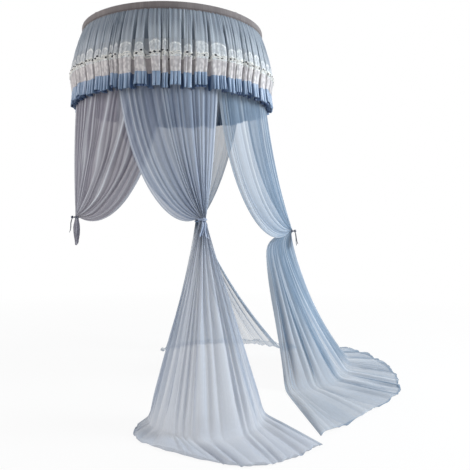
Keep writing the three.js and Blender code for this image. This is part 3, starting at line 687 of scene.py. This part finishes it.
# ---- header band, roof and straps
def header():
    """The casing round the hoop, from its lower outer edge over the tube to its lower inner edge."""
    u = arange(1200) / 1200
    outside, inside, groove_z, shoulder_z = HEADER_OUT + 0.0002, HEADER_IN - 0.0002, -0.2585, -0.2259
    profile = [(0.6052, -0.2600), (0.6055, -0.2652), (0.6062, -0.2661), (outside, -0.2655)]
    profile += [(outside, z) for z in linspace(-0.2630, -0.2265, 9)]
    for a in linspace(0.25, 1, 4) * pi / 2:
        profile.append((HEADER_OUT - 0.0028 + 0.003 * cos(a), shoulder_z + 0.0029 * sin(a)))
    profile += [(r, HEADER_TOP) for r in linspace(0.6022, 0.5978, 4)]
    for a in linspace(0, 0.75, 4) * pi / 2:
        profile.append((HEADER_IN + 0.0028 - 0.003 * sin(a), shoulder_z + 0.0029 * cos(a)))
    profile += [(inside, z) for z in linspace(-0.2285, HEADER_BOTTOM, 8)]
    r, z = (array(column)[:, None] + 0 * u for column in zip(*profile))
    outer = (r > 0.6058) * ease(-0.226, -0.262, z)
    pulls = abs(sin(pi * 160 * u + 2.2 * drift(u, 12, 90))) ** 0.7 * (0.5 + 0.5 * drift(u, 14, 70))
    groove = bell(z - groove_z, 0.0011)
    r = r - (r > 0.6058) * 0.0014 * (1 - pulls) * (0.35 + 0.65 * outer)
    r = r + outer * (0.0004 * abs(sin(TURN * 70 * u + 3 * drift(u, 2, 50))) + 0.0005 * drift(u, 4, 60))
    r = r - outer * groove * 0.0006
    # Painted shade: darker lower down on the outer face, between the gathers' pulls and in the groove.
    deep = clamp(outer * 0.2 + (r > 0.604) * 0.45 * (1 - pulls) + groove * 0.6)
    grid = ring(r, TURN * u, z)
    band = cloth("header_band_casing", grid, "taupe_twill", "taupe_cloth", deep=deep)
    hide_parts("header_band")
    stitches = Parts()
    count, reach = 430, linspace(-0.0034, 0.0034, 4)
    lift = array([0.0002, 0.0008, 0.0008, 0.0002])
    for row, z in enumerate((-0.2575, -0.2615)):
        for i in range(count):
            path = ring(HEADER_OUT + 0.0004 + lift, (i + 0.3 * row) / count * TURN + reach, z)
            stitches.add(*tube_mesh(path, 0.00045, 4))
    seam = stitches.build("header_stitches", "thread_taupe", "taupe_cloth")


def roof():
    """The net gathered from the hoop to the middle, and the patch that holds it there."""
    folds, seat = 132, HEADER_TOP + 0.0009
    u = arange(folds * 8) / (folds * 8)
    U, S = meshgrid(u, concatenate([linspace(0.1, 0.99, 34), [1.0]]))
    radius = S * 0.5931
    x = within(uneven(folds, 41, 0.35), mod(U + 0.2 / folds * drift(U, 6, 40) * (1 - S), 1))[1]
    crest = abs(sin(pi * x)) ** 0.8
    big = 0.0025 * sin(pi * S) * cos(TURN * 6 * U)
    amp = 0.0032 * ease(0.1, 0.35, S) * (1 - ease(0.93, 1.0, S))
    grid = ring(radius, TURN * U, seat - 0.020 * (1 - S**2) + big + amp * (crest - 0.5))
    cover = cover_of(grid, ring(radius, TURN * U, 0.0), 0.5, 1.0)
    cover = 1 - (1 - cover) ** clip(0.75 / maximum(S, 0.08), 1, 5)
    rim = ring(array([0.6000, 0.6056])[:, None], TURN * u, seat)
    cover = concatenate([cover, np.full((2, len(u)), 0.85)])
    net = cloth("roof_net_gathered", concatenate([grid, rim]), "net_skirt", "cool_sheer", cover=cover)
    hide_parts("roof_net")

    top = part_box("roof_patch")[1][2]
    u = arange(96) / 96
    # radius, and depth below the top, from the middle to the turned-down edge
    rows = [(0.0005, 0), (0.02, 0), (0.04, 0), (0.052, 0.0002), (0.054, 0.0006), (0.056, 0.0001),
            (0.0590, 0.0002), (0.0600, 0.0007), (0.0592, 0.0011)]
    r, drop = (array(column)[:, None] + 0 * u for column in zip(*rows))
    z = top - drop + 0.0002 * sin(TURN * 24 * u) * (r > 0.05)
    grid = ring(r, TURN * u, z)
    patch = cloth("roof_patch_disc", grid, "taupe_twill", "taupe_cloth", deep=0.15 + 0 * r)
    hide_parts("roof_patch")


def webbing(path, wide, thick, width, name):
    """A flat woven strap along a path, with rounded edges. wide is the direction of its width."""
    wide = unit(np.broadcast_to(wide, path.shape))
    normal = unit(np.cross(unit(np.gradient(path, axis=0)), wide))
    half, t = width / 2, thick / 2
    section = [(-half, 0), (-half + t * 0.5, t * 0.8), (-half + 2 * t, t)]
    section += [(s * half, t * (1 + 0.075 * (1 - s * s))) for s in (-0.4, 0, 0.4)]
    section += [(half - 2 * t, t), (half - t * 0.5, t * 0.8), (half, 0)]
    section += [(a, -b) for a, b in reversed(section[1:-1])]
    a, b = array(section).T
    grid = path[:, None] + a[None, :, None] * wide[:, None] + b[None, :, None] * normal[:, None]
    along = running(steps(path, 0))
    uv = stack(meshgrid(a, along), axis=-1)
    return make_mesh(name, grid, capped(numbered(*grid.shape[:2])), "webbing_weave", uv)


def rounded(points, radius):
    """A path with its corners rounded and its long runs cut into short ones."""
    per_corner, longest = 5, 0.012
    path = [points[0]]
    for before, corner, after in zip(points, points[1:], points[2:]):
        a, b = before - corner, after - corner
        long_a, long_b = length(a), length(b)
        reach = min(radius, long_a * 0.45, long_b * 0.45)
        start, end = corner + a / long_a * reach, corner + b / long_b * reach
        path += [bent(start, corner, end, t) for t in linspace(0, 1, per_corner)]
    path.append(points[-1])
    dense = []
    for a, b in zip(path, path[1:]):
        count = max(1, int(length(b - a) / longest))
        dense += [a + (b - a) * i / count for i in range(count)]
    return array(dense + [path[-1]])


def straps():
    """Each strap runs from the hoop up to the hub, through its slot, and back down on itself."""
    thick, off_hub, fold_back = 0.0014, 0.00105, 0.040
    hub_low, hub_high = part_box("crown_hub")
    above, below = hub_high[2] + off_hub, hub_low[2] - off_hub
    inner, outer = 0.0365 - off_hub, 0.042 + off_hub
    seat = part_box("hanger_strap_1")[0][2] + 0.00075
    start, bend, behind = 0.6052, 0.5736, above - 0.0016
    slope = (above - seat) / (bend - outer)
    line = [(start, seat), (bend, seat), (outer + 0.0006, above + 0.0002), (inner, above), (inner, below),
            (outer, below), (outer + 0.0006, behind), (outer + fold_back, behind - fold_back * slope)]
    box = [(0.577, -0.007), (0.577, 0.007), (0.602, 0.007), (0.602, -0.007), (0.577, -0.007), (0.602, 0.007)]
    for i in range(4):
        angle = pi / 4 + i * pi / 2
        way = array([cos(angle), sin(angle), 0.0])
        across = array([-sin(angle), cos(angle), 0.0])
        path = rounded([way * r + UP * z for r, z in line], 0.0012)
        strap = webbing(path, across, thick, 0.020, f"hanger_strap_webbing_{i + 1}")
        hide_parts(f"hanger_strap_{i + 1}")
        sewn = Parts()
        corners = [way * a + across * b + UP * (seat + 0.0011) for a, b in box]
        for a, b in zip(corners, corners[1:]):
            count = int(length(b - a) / 0.0032)
            for j in range(count):
                p, q = lerp(a, b, (j + 0.15) / count), lerp(a, b, (j + 0.85) / count)
                sewn.add(*tube_mesh([p, (p + q) / 2 + UP * 0.0003, q], 0.0004, 4))
        sewn.build(f"hanger_strap_stitches_{i + 1}", "thread_taupe", "webbing")


# ---- panels
TIE = 1.130
BUNDLE, BUNDLE_HIGH, BUNDLE_DEEP = 0.040, 0.014, 0.015
FINE, COARSE = BUNDLE_DEEP * 0.6, BUNDLE_DEEP * 0.4
BAND_WIDE, BAND_DEEP, BAND_HIGH = 0.0245, 0.0180, 0.011
KNOT_OUT, KNOT_R = BAND_DEEP + 0.0117, 0.0092
RIM_R, LAYER_GAP = 0.6025, 0.0029
HEM_WIDE, TAIL = 0.022, 0.150
ROWS_ABOVE, ROWS_BELOW, ROWS_LYING, ROWS_TAIL = 64, 57, 25, 15

# start, end: where a panel hangs on the rim, in degrees from the front; layer: its order under the band.
# tie: the tie-back's place, high: its height as a share of TIE; touch, hem: the lines where the panel
# meets the floor and ends, all in plan as shares of HOOP. inward, drop, sag, swell: how it swings in to
# its tie; knee, belly: how it falls below it. cloth: the width of net it holds; one: how much one layer
# hides; thin, thick, lying, light: the net just below the tie, further down and on the floor, and its
# paleness there. sheet: flat width, length and area.
USUAL = dict(high=1.0, swell=0.0, cloth=2.7, one=0.3, inward=0.11, drop=1.07, sag=0.55, knee=0.0,
             belly=(0.0, 0.0), thin=1.0, thick=1.5, lying=1.9, light=0.0, hem=None)
PANELS = {
    "left": dict(
        # The left panel's net is tinted mauve: painted warm room light.
        USUAL, start=-112.5, end=6, layer=2, tie=(-1.055, -0.183), high=1.02, swell=0.115, pleats=34,
        one=0.66, seed=101, slot="warm_sheer", net="net_warm", satin="satin_slate", sheet=(1.36, 1.50, 1.68)),
    "front": dict(
        USUAL, start=-29, end=33.5, layer=1, tie=(0.405, -1.283), knee=0.45, pleats=18, cloth=2.0, seed=102,
        slot="cool_sheer", net="net_front", satin="satin_pale", thin=0.74, thick=2.1, light=0.34,
        inward=0.0, drop=0.9, sag=0.8, sheet=(1.43, 2.78, 2.07),
        touch=[(-0.13, -1.03), (-0.02, -1.35), (0.36, -1.64), (0.85, -1.45), (0.975, -1.0)],
        hem=[(-0.197, -1.228), (-0.105, -1.65), (0.638, -2.1), (1.062, -2.07), (1.425, -1.76)]),
    "right": dict(
        USUAL, start=30.5, end=127, layer=2, tie=(1.36, 0.183), high=0.936, knee=0.2, pleats=26, cloth=2.8,
        seed=103, slot="cool_sheer", net="net_cool", satin="satin_slate", belly=(-0.205, -0.04),
        inward=0.0, drop=1.0, sag=1.1, sheet=(2.45, 3.11, 3.37),
        touch=[(1.25, -0.22), (1.75, -0.05), (2.1, 0.6), (2.22, 1.3), (2.22, 1.85)],
        hem=[(1.45, -1.54), (2.3, -0.6), (2.63, 0.2), (2.62, 1.25), (2.32, 1.95)]),
    "back": dict(
        USUAL, start=122, end=248, layer=3, tie=(0.183, 1.375), knee=0.3, pleats=34, seed=104,
        slot="warm_sheer", net="net_cool", satin="satin_blue", thin=0.55, light=0.40, thick=1.0, lying=0.9,
        inward=0.25, drop=0.85, sag=0.2, sheet=(1.67, 2.80, 3.04),
        touch=[(1.4, 1.75), (1.1, 2.0), (0.6, 2.1), (0.1, 2.0), (-0.33, 1.67)],
        hem=[(1.65, 1.95), (1.2, 2.35), (0.6, 2.45), (0.05, 2.3), (-0.4, 1.78)]),
}


def spline(points, u):
    """A smooth curve through plan points given as shares of the hoop's radius, at shares u of its points."""
    p = array(points, float) * HOOP
    p = concatenate([[2 * p[0] - p[1]], p, [2 * p[-1] - p[-2]]])
    s = clamp(u) * (len(p) - 3)
    i = np.minimum(s.astype(int), len(p) - 4)
    t = (s - i)[..., None]
    a, b, c, d = p[i], p[i + 1], p[i + 2], p[i + 3]
    return 0.5 * (2 * b + (c - a) * t + (2 * a - 5 * b + 4 * c - d) * t**2 + (3 * b - a - 3 * c + d) * t**3)


def bent(a, b, c, t):
    """A curve from a to c that is drawn towards b."""
    return a * (1 - t) ** 2 + b * 2 * t * (1 - t) + c * t**2


def fold_wave(u, count, seed, sway):
    """Folds of uneven width and height across a panel, from -1 to 1, with the painted highlight on their
    crests and the painted shade in their hollows.
    """
    k, x = within(uneven(count, seed, 0.72), clip(u + sway, 0, 1 - 1e-9))
    rng = RandomState(seed + 1)
    tall, bright, dark = 0.6 + 0.4 * rng.rand(count), rng.rand(count) ** 2.0, rng.rand(count) ** 1.5
    wave = tall[k] * (2 * (1 - abs(2 * x - 1) ** 2.0) ** 1.2 - 1)
    return wave, bright[k] * bell(x - 0.5, 0.12), dark[k] * bell(np.minimum(x, 1 - x), 0.11)


def tie_frame(p):
    """A tie-back's middle, the way it faces, and the way across it."""
    x, y = p["tie"]
    facing = unit(array([x, y, 0.0]))
    tie = array([x * HOOP, y * HOOP, FLOOR + TIE * p["high"]])
    return tie, facing, array([-facing[1], facing[0], 0.0])


def rows_above(p, u, gather):
    """Rim to tie: each row's points, the way its folds stand out, and its fine and coarse folds' depths."""
    tie, facing, across = tie_frame(p)
    angle = lerp(p["start"], p["end"], u) * DEGREE
    radius = RIM_R - LAYER_GAP * (p["layer"] - 1)
    out, head = ring(1.0, angle, 0.0), ring(radius, angle, HEADER_BOTTOM)
    top = tie + across * ((u - 0.5) * BUNDLE)[:, None] + UP * BUNDLE_HIGH / 2
    ends = ring(HOOP, array([p["start"], p["end"]]) * DEGREE, 0.0)
    far, farthest = (length((rim - tie)[:, :2]) for rim in (ring(HOOP, angle, 0.0), ends))
    slack = (far / farthest.max()) ** 1.5
    knee = head + (top - head) * lerp(0.10, p["inward"], slack)[:, None]
    knee = knee + out * ((1 - slack) * p["swell"] * HOOP)[:, None]
    knee[:, 2] = lerp(head[:, 2], top[:, 2], lerp(0.45, p["drop"], slack))
    rows = [(ring(radius, angle, HEADER_BOTTOM + TUCK_IN), out, 0 * u, 0 * u)]
    for s in linspace(0, 1, ROWS_ABOVE) ** 0.92:
        place = bent(head, knee, top, s)
        place[:, 2] -= p["sag"] * slack**3 * s**5 * (1 - s)
        fallen = (head[:, 2] - place[:, 2]) / (head[:, 2] - top[:, 2])
        size = 0.013 * clamp(fallen) ** 0.8 * lerp(1, gather, s**2)
        share = ease(0.05, 0.5, s) * 0.5
        fine = maximum(size, 0.0022 * s**0.15) * (1 - share)
        rows.append((place, unit(lerp(out, facing, s * s)), fine, size * share))
    for s in (0.5, 1.0):
        rows.append((top - UP * BUNDLE_HIGH * s, facing + 0 * out, FINE * gather, COARSE * gather))
    return rows


def rows_tail(p, u, gather, low):
    """The short tail of a panel that ends just below its tie."""
    _, facing, across = tie_frame(p)
    rows = []
    for s in linspace(0, 1, ROWS_TAIL + 1)[1:]:
        opening, closing = ease(0, 0.45, s), ease(0.55, 1.0, s)
        width = lerp(1.0, 1.2, opening) * lerp(1.0, 0.45, closing)
        place = low + across * ((0.5 - u) * BUNDLE * (1 - width))[:, None] - UP * TAIL * s
        place[:, 2] += 0.016 * (sin(u * 23) + sin(u * 9 + 1)) * s * s
        deep = FINE * gather * lerp(1.0, 1.75, opening) * lerp(1.0, 0.5, closing)
        rows.append((place, facing + 0 * place, deep, deep))
    return rows


def rows_below(p, u, gather, low):
    """The flare from the tie down to the floor, and the train that lies on it."""
    facing = tie_frame(p)[1]
    lie = np.full((len(u), 1), FLOOR + 0.0111)
    touch, hem = (concatenate([spline(p[key], u), lie], axis=1) for key in ("touch", "hem"))
    middle = lerp(low, touch, p["knee"])
    middle[:, 2] = (low[:, 2] + touch[:, 2]) / 2
    spread = unit((touch - low) * array([1, 1, 0]))
    belly = array([*p["belly"], 0.0]) * ((1 - u) ** 1.4)[:, None]
    rows = []
    for s in linspace(0, 1, ROWS_BELOW + 1)[1:] ** 1.4:
        place = bent(low, middle, touch, s) + belly * (1 - s) * (1 - exp(-s / 0.04))
        near_floor, opened = ease(0.86, 1.0, s), ease(0.0, 0.35, s)
        way = unit(lerp(unit(lerp(facing, spread, s)), UP, near_floor * 0.6))
        size = lerp(lerp(BUNDLE_DEEP, 0.026, ease(0, 0.7, s)), 0.010, near_floor)
        fine, coarse = lerp(FINE * gather, size * 0.38, opened), lerp(COARSE * gather, size * 0.6, opened)
        rows.append((place, way, fine, coarse))
    wander = 0.014 * drift(u, p["seed"] + 5, 14) + 0.006 * drift(u, p["seed"] + 6, 34)
    hem = hem + unit(hem - touch) * wander[:, None]
    for s in linspace(0, 1, ROWS_LYING + 1)[1:]:
        way = unit(lerp(unit(lerp(spread, UP, 0.6)), UP, ease(0, 0.25, s)))
        lying = 0.0100 + 0.0035 * drift(u * 0.7 + 0.8 * s, p["seed"] + 9, 12)
        coarse = lerp(0.0055, lying, ease(0.05, 0.35, s))
        rows.append((lerp(touch, hem, s), way, 0.0042 + 0 * u, coarse))
    return rows


def panel_grid(p, u):
    """The panel's fold-free points, the way its folds stand out, the painted highlight on their crests and
    the painted shade in their hollows, and its points.
    """
    gather = 2 * np.sqrt(clip(u * (1 - u), 0, None))
    rows = rows_above(p, u, gather)
    rows += (rows_below if p["hem"] else rows_tail)(p, u, gather, rows[-1][0])
    base, dirs, fine, coarse = (array(part) for part in zip(*rows))
    down = linspace(0, 1, len(base))[:, None]
    seed, pleats = p["seed"], p["pleats"]
    sway = 0.35 / pleats * (drift(u * 0.9 + down * 0.35, seed, 9) - drift(u * 0.9, seed, 9))
    small, ridge_highlight, furrow_shade = fold_wave(u, pleats, seed, sway)
    broad, broad_ridge_highlight, broad_furrow_shade = fold_wave(u, pleats // 3, seed + 50, 2.2 * sway)
    grid = base + dirs * (fine * small + coarse * broad)[..., None]
    below, lying = (ease(*ends, down) * bool(p["hem"]) for ends in ((0.44, 0.56), (0.80, 0.90)))
    begun = ease(0.02, 0.12, down)
    # Painted highlight on the fold crests and, where light is given, over the net below the tie; painted
    # shade in the hollows, stronger on the floor.
    ridge_highlight = maximum(begun * clamp(0.8 * ridge_highlight + 0.5 * broad_ridge_highlight), p["light"] * below)
    furrow_shade = begun * clamp(0.45 * furrow_shade + 0.45 * broad_furrow_shade) * lerp(1.0, 0.4, below)
    furrow_shade = lerp(furrow_shade, clamp(2.4 * furrow_shade), lying)
    return base, dirs, ridge_highlight, furrow_shade, grid


def smooth_rows(grid, times):
    """Rounds the turns down each column below the tie, with the ends held."""
    part = grid[ROWS_ABOVE + 8:]
    for _ in range(times):
        part[1:-1] = 0.25 * part[:-2] + 0.5 * part[1:-1] + 0.25 * part[2:]


def turned_under(grid, dirs, arc):
    """Three columns behind a panel's first one, from its edge inwards, for the hem of its leading edge."""
    run = np.cumsum(steps(grid, 1), axis=1)
    reach = clip(HEM_WIDE * np.minimum(1.0, arc / 1.2), 0.004, HEM_WIDE)
    row = arange(len(grid))
    columns = []
    for share in (0.0, 0.5, 1.0):
        column = array([np.searchsorted(run[i], reach[i] * share) for i in row])
        columns.append(grid[row, column] - dirs[row, column] * 0.0015)
    return stack(columns, axis=1)


def panel(name, p):
    u = linspace(0, 1, p["pleats"] * 14 + 1)
    base, dirs, ridge_highlight, furrow_shade, grid = panel_grid(p, u)
    smooth_rows(base, 6)
    smooth_rows(grid, 4)
    grid[..., 2] = maximum(grid[..., 2], FLOOR + 0.0008)
    arc = steps(grid, 1).sum(axis=1)
    cover = cover_of(grid, base, p["one"], maximum(p["cloth"] / arc, 1.0)[:, None])
    if p["hem"]:
        fallen = linspace(0, 1, len(cover))[:, None]
        cover = cover * lerp(1.0, p["thin"], ease(0.44, 0.58, fallen))
        for key, *ends in (("thick", 0.58, 0.80), ("lying", 0.80, 0.97)):
            cover = 1 - (1 - cover) ** lerp(1.0, p[key], ease(*ends, fallen))
    # the two leading edges are turned under into a hem, three columns each
    first = turned_under(grid, dirs, arc)
    last = turned_under(grid[:, ::-1], dirs[:, ::-1], arc)
    grid = concatenate([first[:, ::-1], grid, last], axis=1)
    cover = np.pad(cover, ((0, 0), (3, 3)), mode="edge")
    ridge_highlight, furrow_shade = (np.pad(values, ((0, 0), (3, 3))) for values in (ridge_highlight, furrow_shade))
    for hem, edge in ((slice(0, 4), slice(0, 9)), (slice(-4, None), slice(-9, None))):
        cover[:, hem] = maximum(cover[:, hem], 0.55)
        # Painted highlight along the hems, and no painted shade there.
        ridge_highlight[:, edge] = maximum(ridge_highlight[:, edge], 0.45)
        furrow_shade[:, edge] = 0
    grid[..., 2] = maximum(grid[..., 2], FLOOR + 0.0006)
    if p["hem"]:
        # the train's end is turned under too, two rows
        under, last = grid[-2:-1].copy(), grid[-1:].copy()
        under[..., 2] = FLOOR + 0.0005
        last[..., 2] = maximum(last[..., 2] - 0.0012, FLOOR + 0.0004)
        grid = concatenate([grid, last, under])
        ends = ((0, 2), (0, 0))
        cover, ridge_highlight, furrow_shade = (np.pad(values, ends, mode="edge") for values in (cover, ridge_highlight, furrow_shade))
    obj = cloth(f"panel_{name}_net", grid, p["net"], p["slot"], False,
                cover=clip(cover, 0, 0.985), crest=ridge_highlight, deep=furrow_shade)
    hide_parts(f"panel_{name}")


# ---- tie-backs
def tie_back(name, p):
    tie, facing, across = tie_frame(p)
    look, seed = p["satin"], p["seed"]
    slot = "slate_satin" if look == "satin_slate" else "blue_satin"

    def local(x, y, z):
        """Points from the tie's middle: across it, the way it faces, and up."""
        return tie + sum(way * part[..., None] for way, part in ((across, x), (facing, y), (UP, z)))

    a = arange(96) * TURN / 96
    rows, deep = [], []
    for v in linspace(0, 1, 15):
        bulge = 0.0008 + 0.0011 * sin(pi * v) ** 0.6
        crush = 0.0007 * sin(TURN * 3.2 * v + 2.4 * sin(a * 2 + seed))
        crush = crush + 0.0004 * sin(TURN * 6.1 * v + a * 3)
        wide, thick = BAND_WIDE + bulge + crush, BAND_DEEP + bulge + crush
        rows.append(local(wide * cos(a), thick * sin(a), (v - 0.5) * BAND_HIGH + 0 * a))
        # Painted shade where the band is crushed in.
        deep.append(clamp(0.5 - crush / 0.0016))
    low, high = (local(BAND_WIDE * cos(a), BAND_DEEP * sin(a), way * (BAND_HIGH / 2 - 0.001) + 0 * a)
                 for way in (-1, 1))
    rows, deep = [low, *rows, high], [deep[0], *deep, deep[-1]]
    band = cloth(f"tie_band_{name}_satin", array(rows), look, slot, deep=array(deep))
    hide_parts(f"tie_band_{name}")

    # the knot: a wrapped, lumpy ball in front of the band
    lat, lon = meshgrid(linspace(0.02, pi - 0.02, 22), arange(40) * TURN / 40, indexing="ij")
    wrap = 0.0011 * sin(5 * lat + 2.2 * sin(lon) + seed) + 0.0006 * sin(9 * lat - 3 * lon)
    r = KNOT_R + wrap
    x, y = r * 1.12 * sin(lat) * cos(lon), KNOT_OUT + r * 0.95 * sin(lat) * sin(lon)
    points = local(x, y, r * 1.02 * cos(lat))
    # The knot is darker where its wraps sink in: painted shade.
    knot = make_mesh(f"tie_knot_{name}_satin", points, capped(numbered(*lat.shape), -1), look,
                     stack([lon, lat], axis=-1) * 0.01, {"deep": clamp(0.5 - wrap / 0.003)})
    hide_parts(f"tie_knot_{name}")

    s, w = linspace(0, 1, 28)[:, None], linspace(-1, 1, 13)[None]
    width = 0.0135 * ease(0, 0.25, s) + 0.004
    spread, lean = 0.16, 0.20
    for side, letter in ((-1, "a"), (1, "b")):
        long = 0.092 + 0.006 * side
        curl = 0.0016 * cos(w * 4.2 + 3 * s) + 0.0018 * w**2 * sin(4 * s + side)
        x = side * 0.003 + sin(spread * side) * long * s + 0.004 * sin(5 * s + side) + w * width / 2
        y = KNOT_OUT + sin(lean) * long * s * 0.85 + 0.002 * sin(6 * s) + curl
        grid = local(x, y, -(0.005 + cos(lean) * long * s) + 0 * w)
        grid[-1, :, 2] -= 0.004 * w[0] * side
        # Painted shade where the tail curls in.
        deep = clamp(0.5 - curl / 0.004)
        tail = cloth(f"tie_tail_{name}_{letter}", grid, look, slot, False, deep=deep)


# ---- steel parts
def steel_parts():
    """The steel nodes keep the solids' shapes and take a metal look."""
    for node, obj in frame["nodes"].items():
        if node.startswith(("ceiling", "snap", "swivel", "crown_hub", "hoop")):
            dark = node in ("snap_gate", "snap_gate_pin", "swivel_washer") or "ferrule" in node
            obj.data.materials.clear()
            obj.data.materials.append(MAT["steel_dark" if dark else "steel_zinc"])


# ---- the object
camera()
world()
area_lamp("key", (5.1, -1.1, 0.6), (0.2, 0, -0.9), 2.6, 280, (0.92, 0.97, 1.0))
area_lamp("fill", (-4.6, -2.0, 0.2), (0, 0, -1.0), 2.8, 106, (1.0, 0.95, 0.92))
area_lamp("front", (-0.6, -4.8, -1.9), (0.1, 0, -0.9), 2.4, 26, (1.0, 0.98, 0.97))
area_lamp("back", (1.5, 4.4, 0.6), (0.2, 0, -1.2), 2.6, 40, (0.97, 0.98, 1.0))
bpy.ops.mesh.primitive_plane_add(size=40, location=(0, 0, FLOOR - 0.001))
floor = bpy.context.object
floor.name = "studio_floor"
floor.data.materials.append(floor_look())

# net: pale, middle and painted-shade colours; cotton and satin: pale and painted-shade colours
MAT = {made.name: made for made in (
    sheer_look("net_cool", 0x8BA1B8, 0x7188A0, 0x4A5F7C),
    sheer_look("net_front", 0x9EABC0, 0x8391A8, 0x4F6184),
    # a mauve-tinted copy of the blue-grey net: painted warm room light
    sheer_look("net_warm", 0x8B8996, 0x72707D, 0x4C4A58),
    sheer_look("net_skirt", 0xB6C2CE, 0x808E9F, 0x3E4956),
    lace_look(),
    cotton_look("cream_cotton", 0xBDBBBE, 0x938B8E, sprigs=0xDDDBDB),
    cotton_look("taupe_twill", 0x8A8484, 0x544F51, pitch=0.0014),
    satin_look("satin_blue", 0x7F97B4, 0x2E486C),
    # a darker copy of the blue satin: painted shade for the ruffle's inner layer
    satin_look("satin_blue_painted_shade", 0x4C6690, 0x2A4064),
    satin_look("satin_pale", 0xAEBDD6, 0x4E6182),
    satin_look("satin_slate", 0x565F74, 0x2B3040),
    webbing_look(),
    thread_look("thread_cream", 0xF3F3EF),
    thread_look("thread_white", 0xF0F0EC),
    thread_look("thread_dark", 0x20262F),
    thread_look("thread_taupe", 0x6E6263),
    metal_look("steel_zinc", 0xC4C6C9, 0.28),
    metal_look("steel_dark", 0x8D9095, 0.32),
)}
steel_parts()
header()
roof()
straps()
valance()
for build in (panel, tie_back):
    for key, spec in PANELS.items():
        build(key, spec)

bpy.context.scene.cycles.transparent_max_bounces = 64
bpy.context.scene.view_settings.view_transform = "Standard"
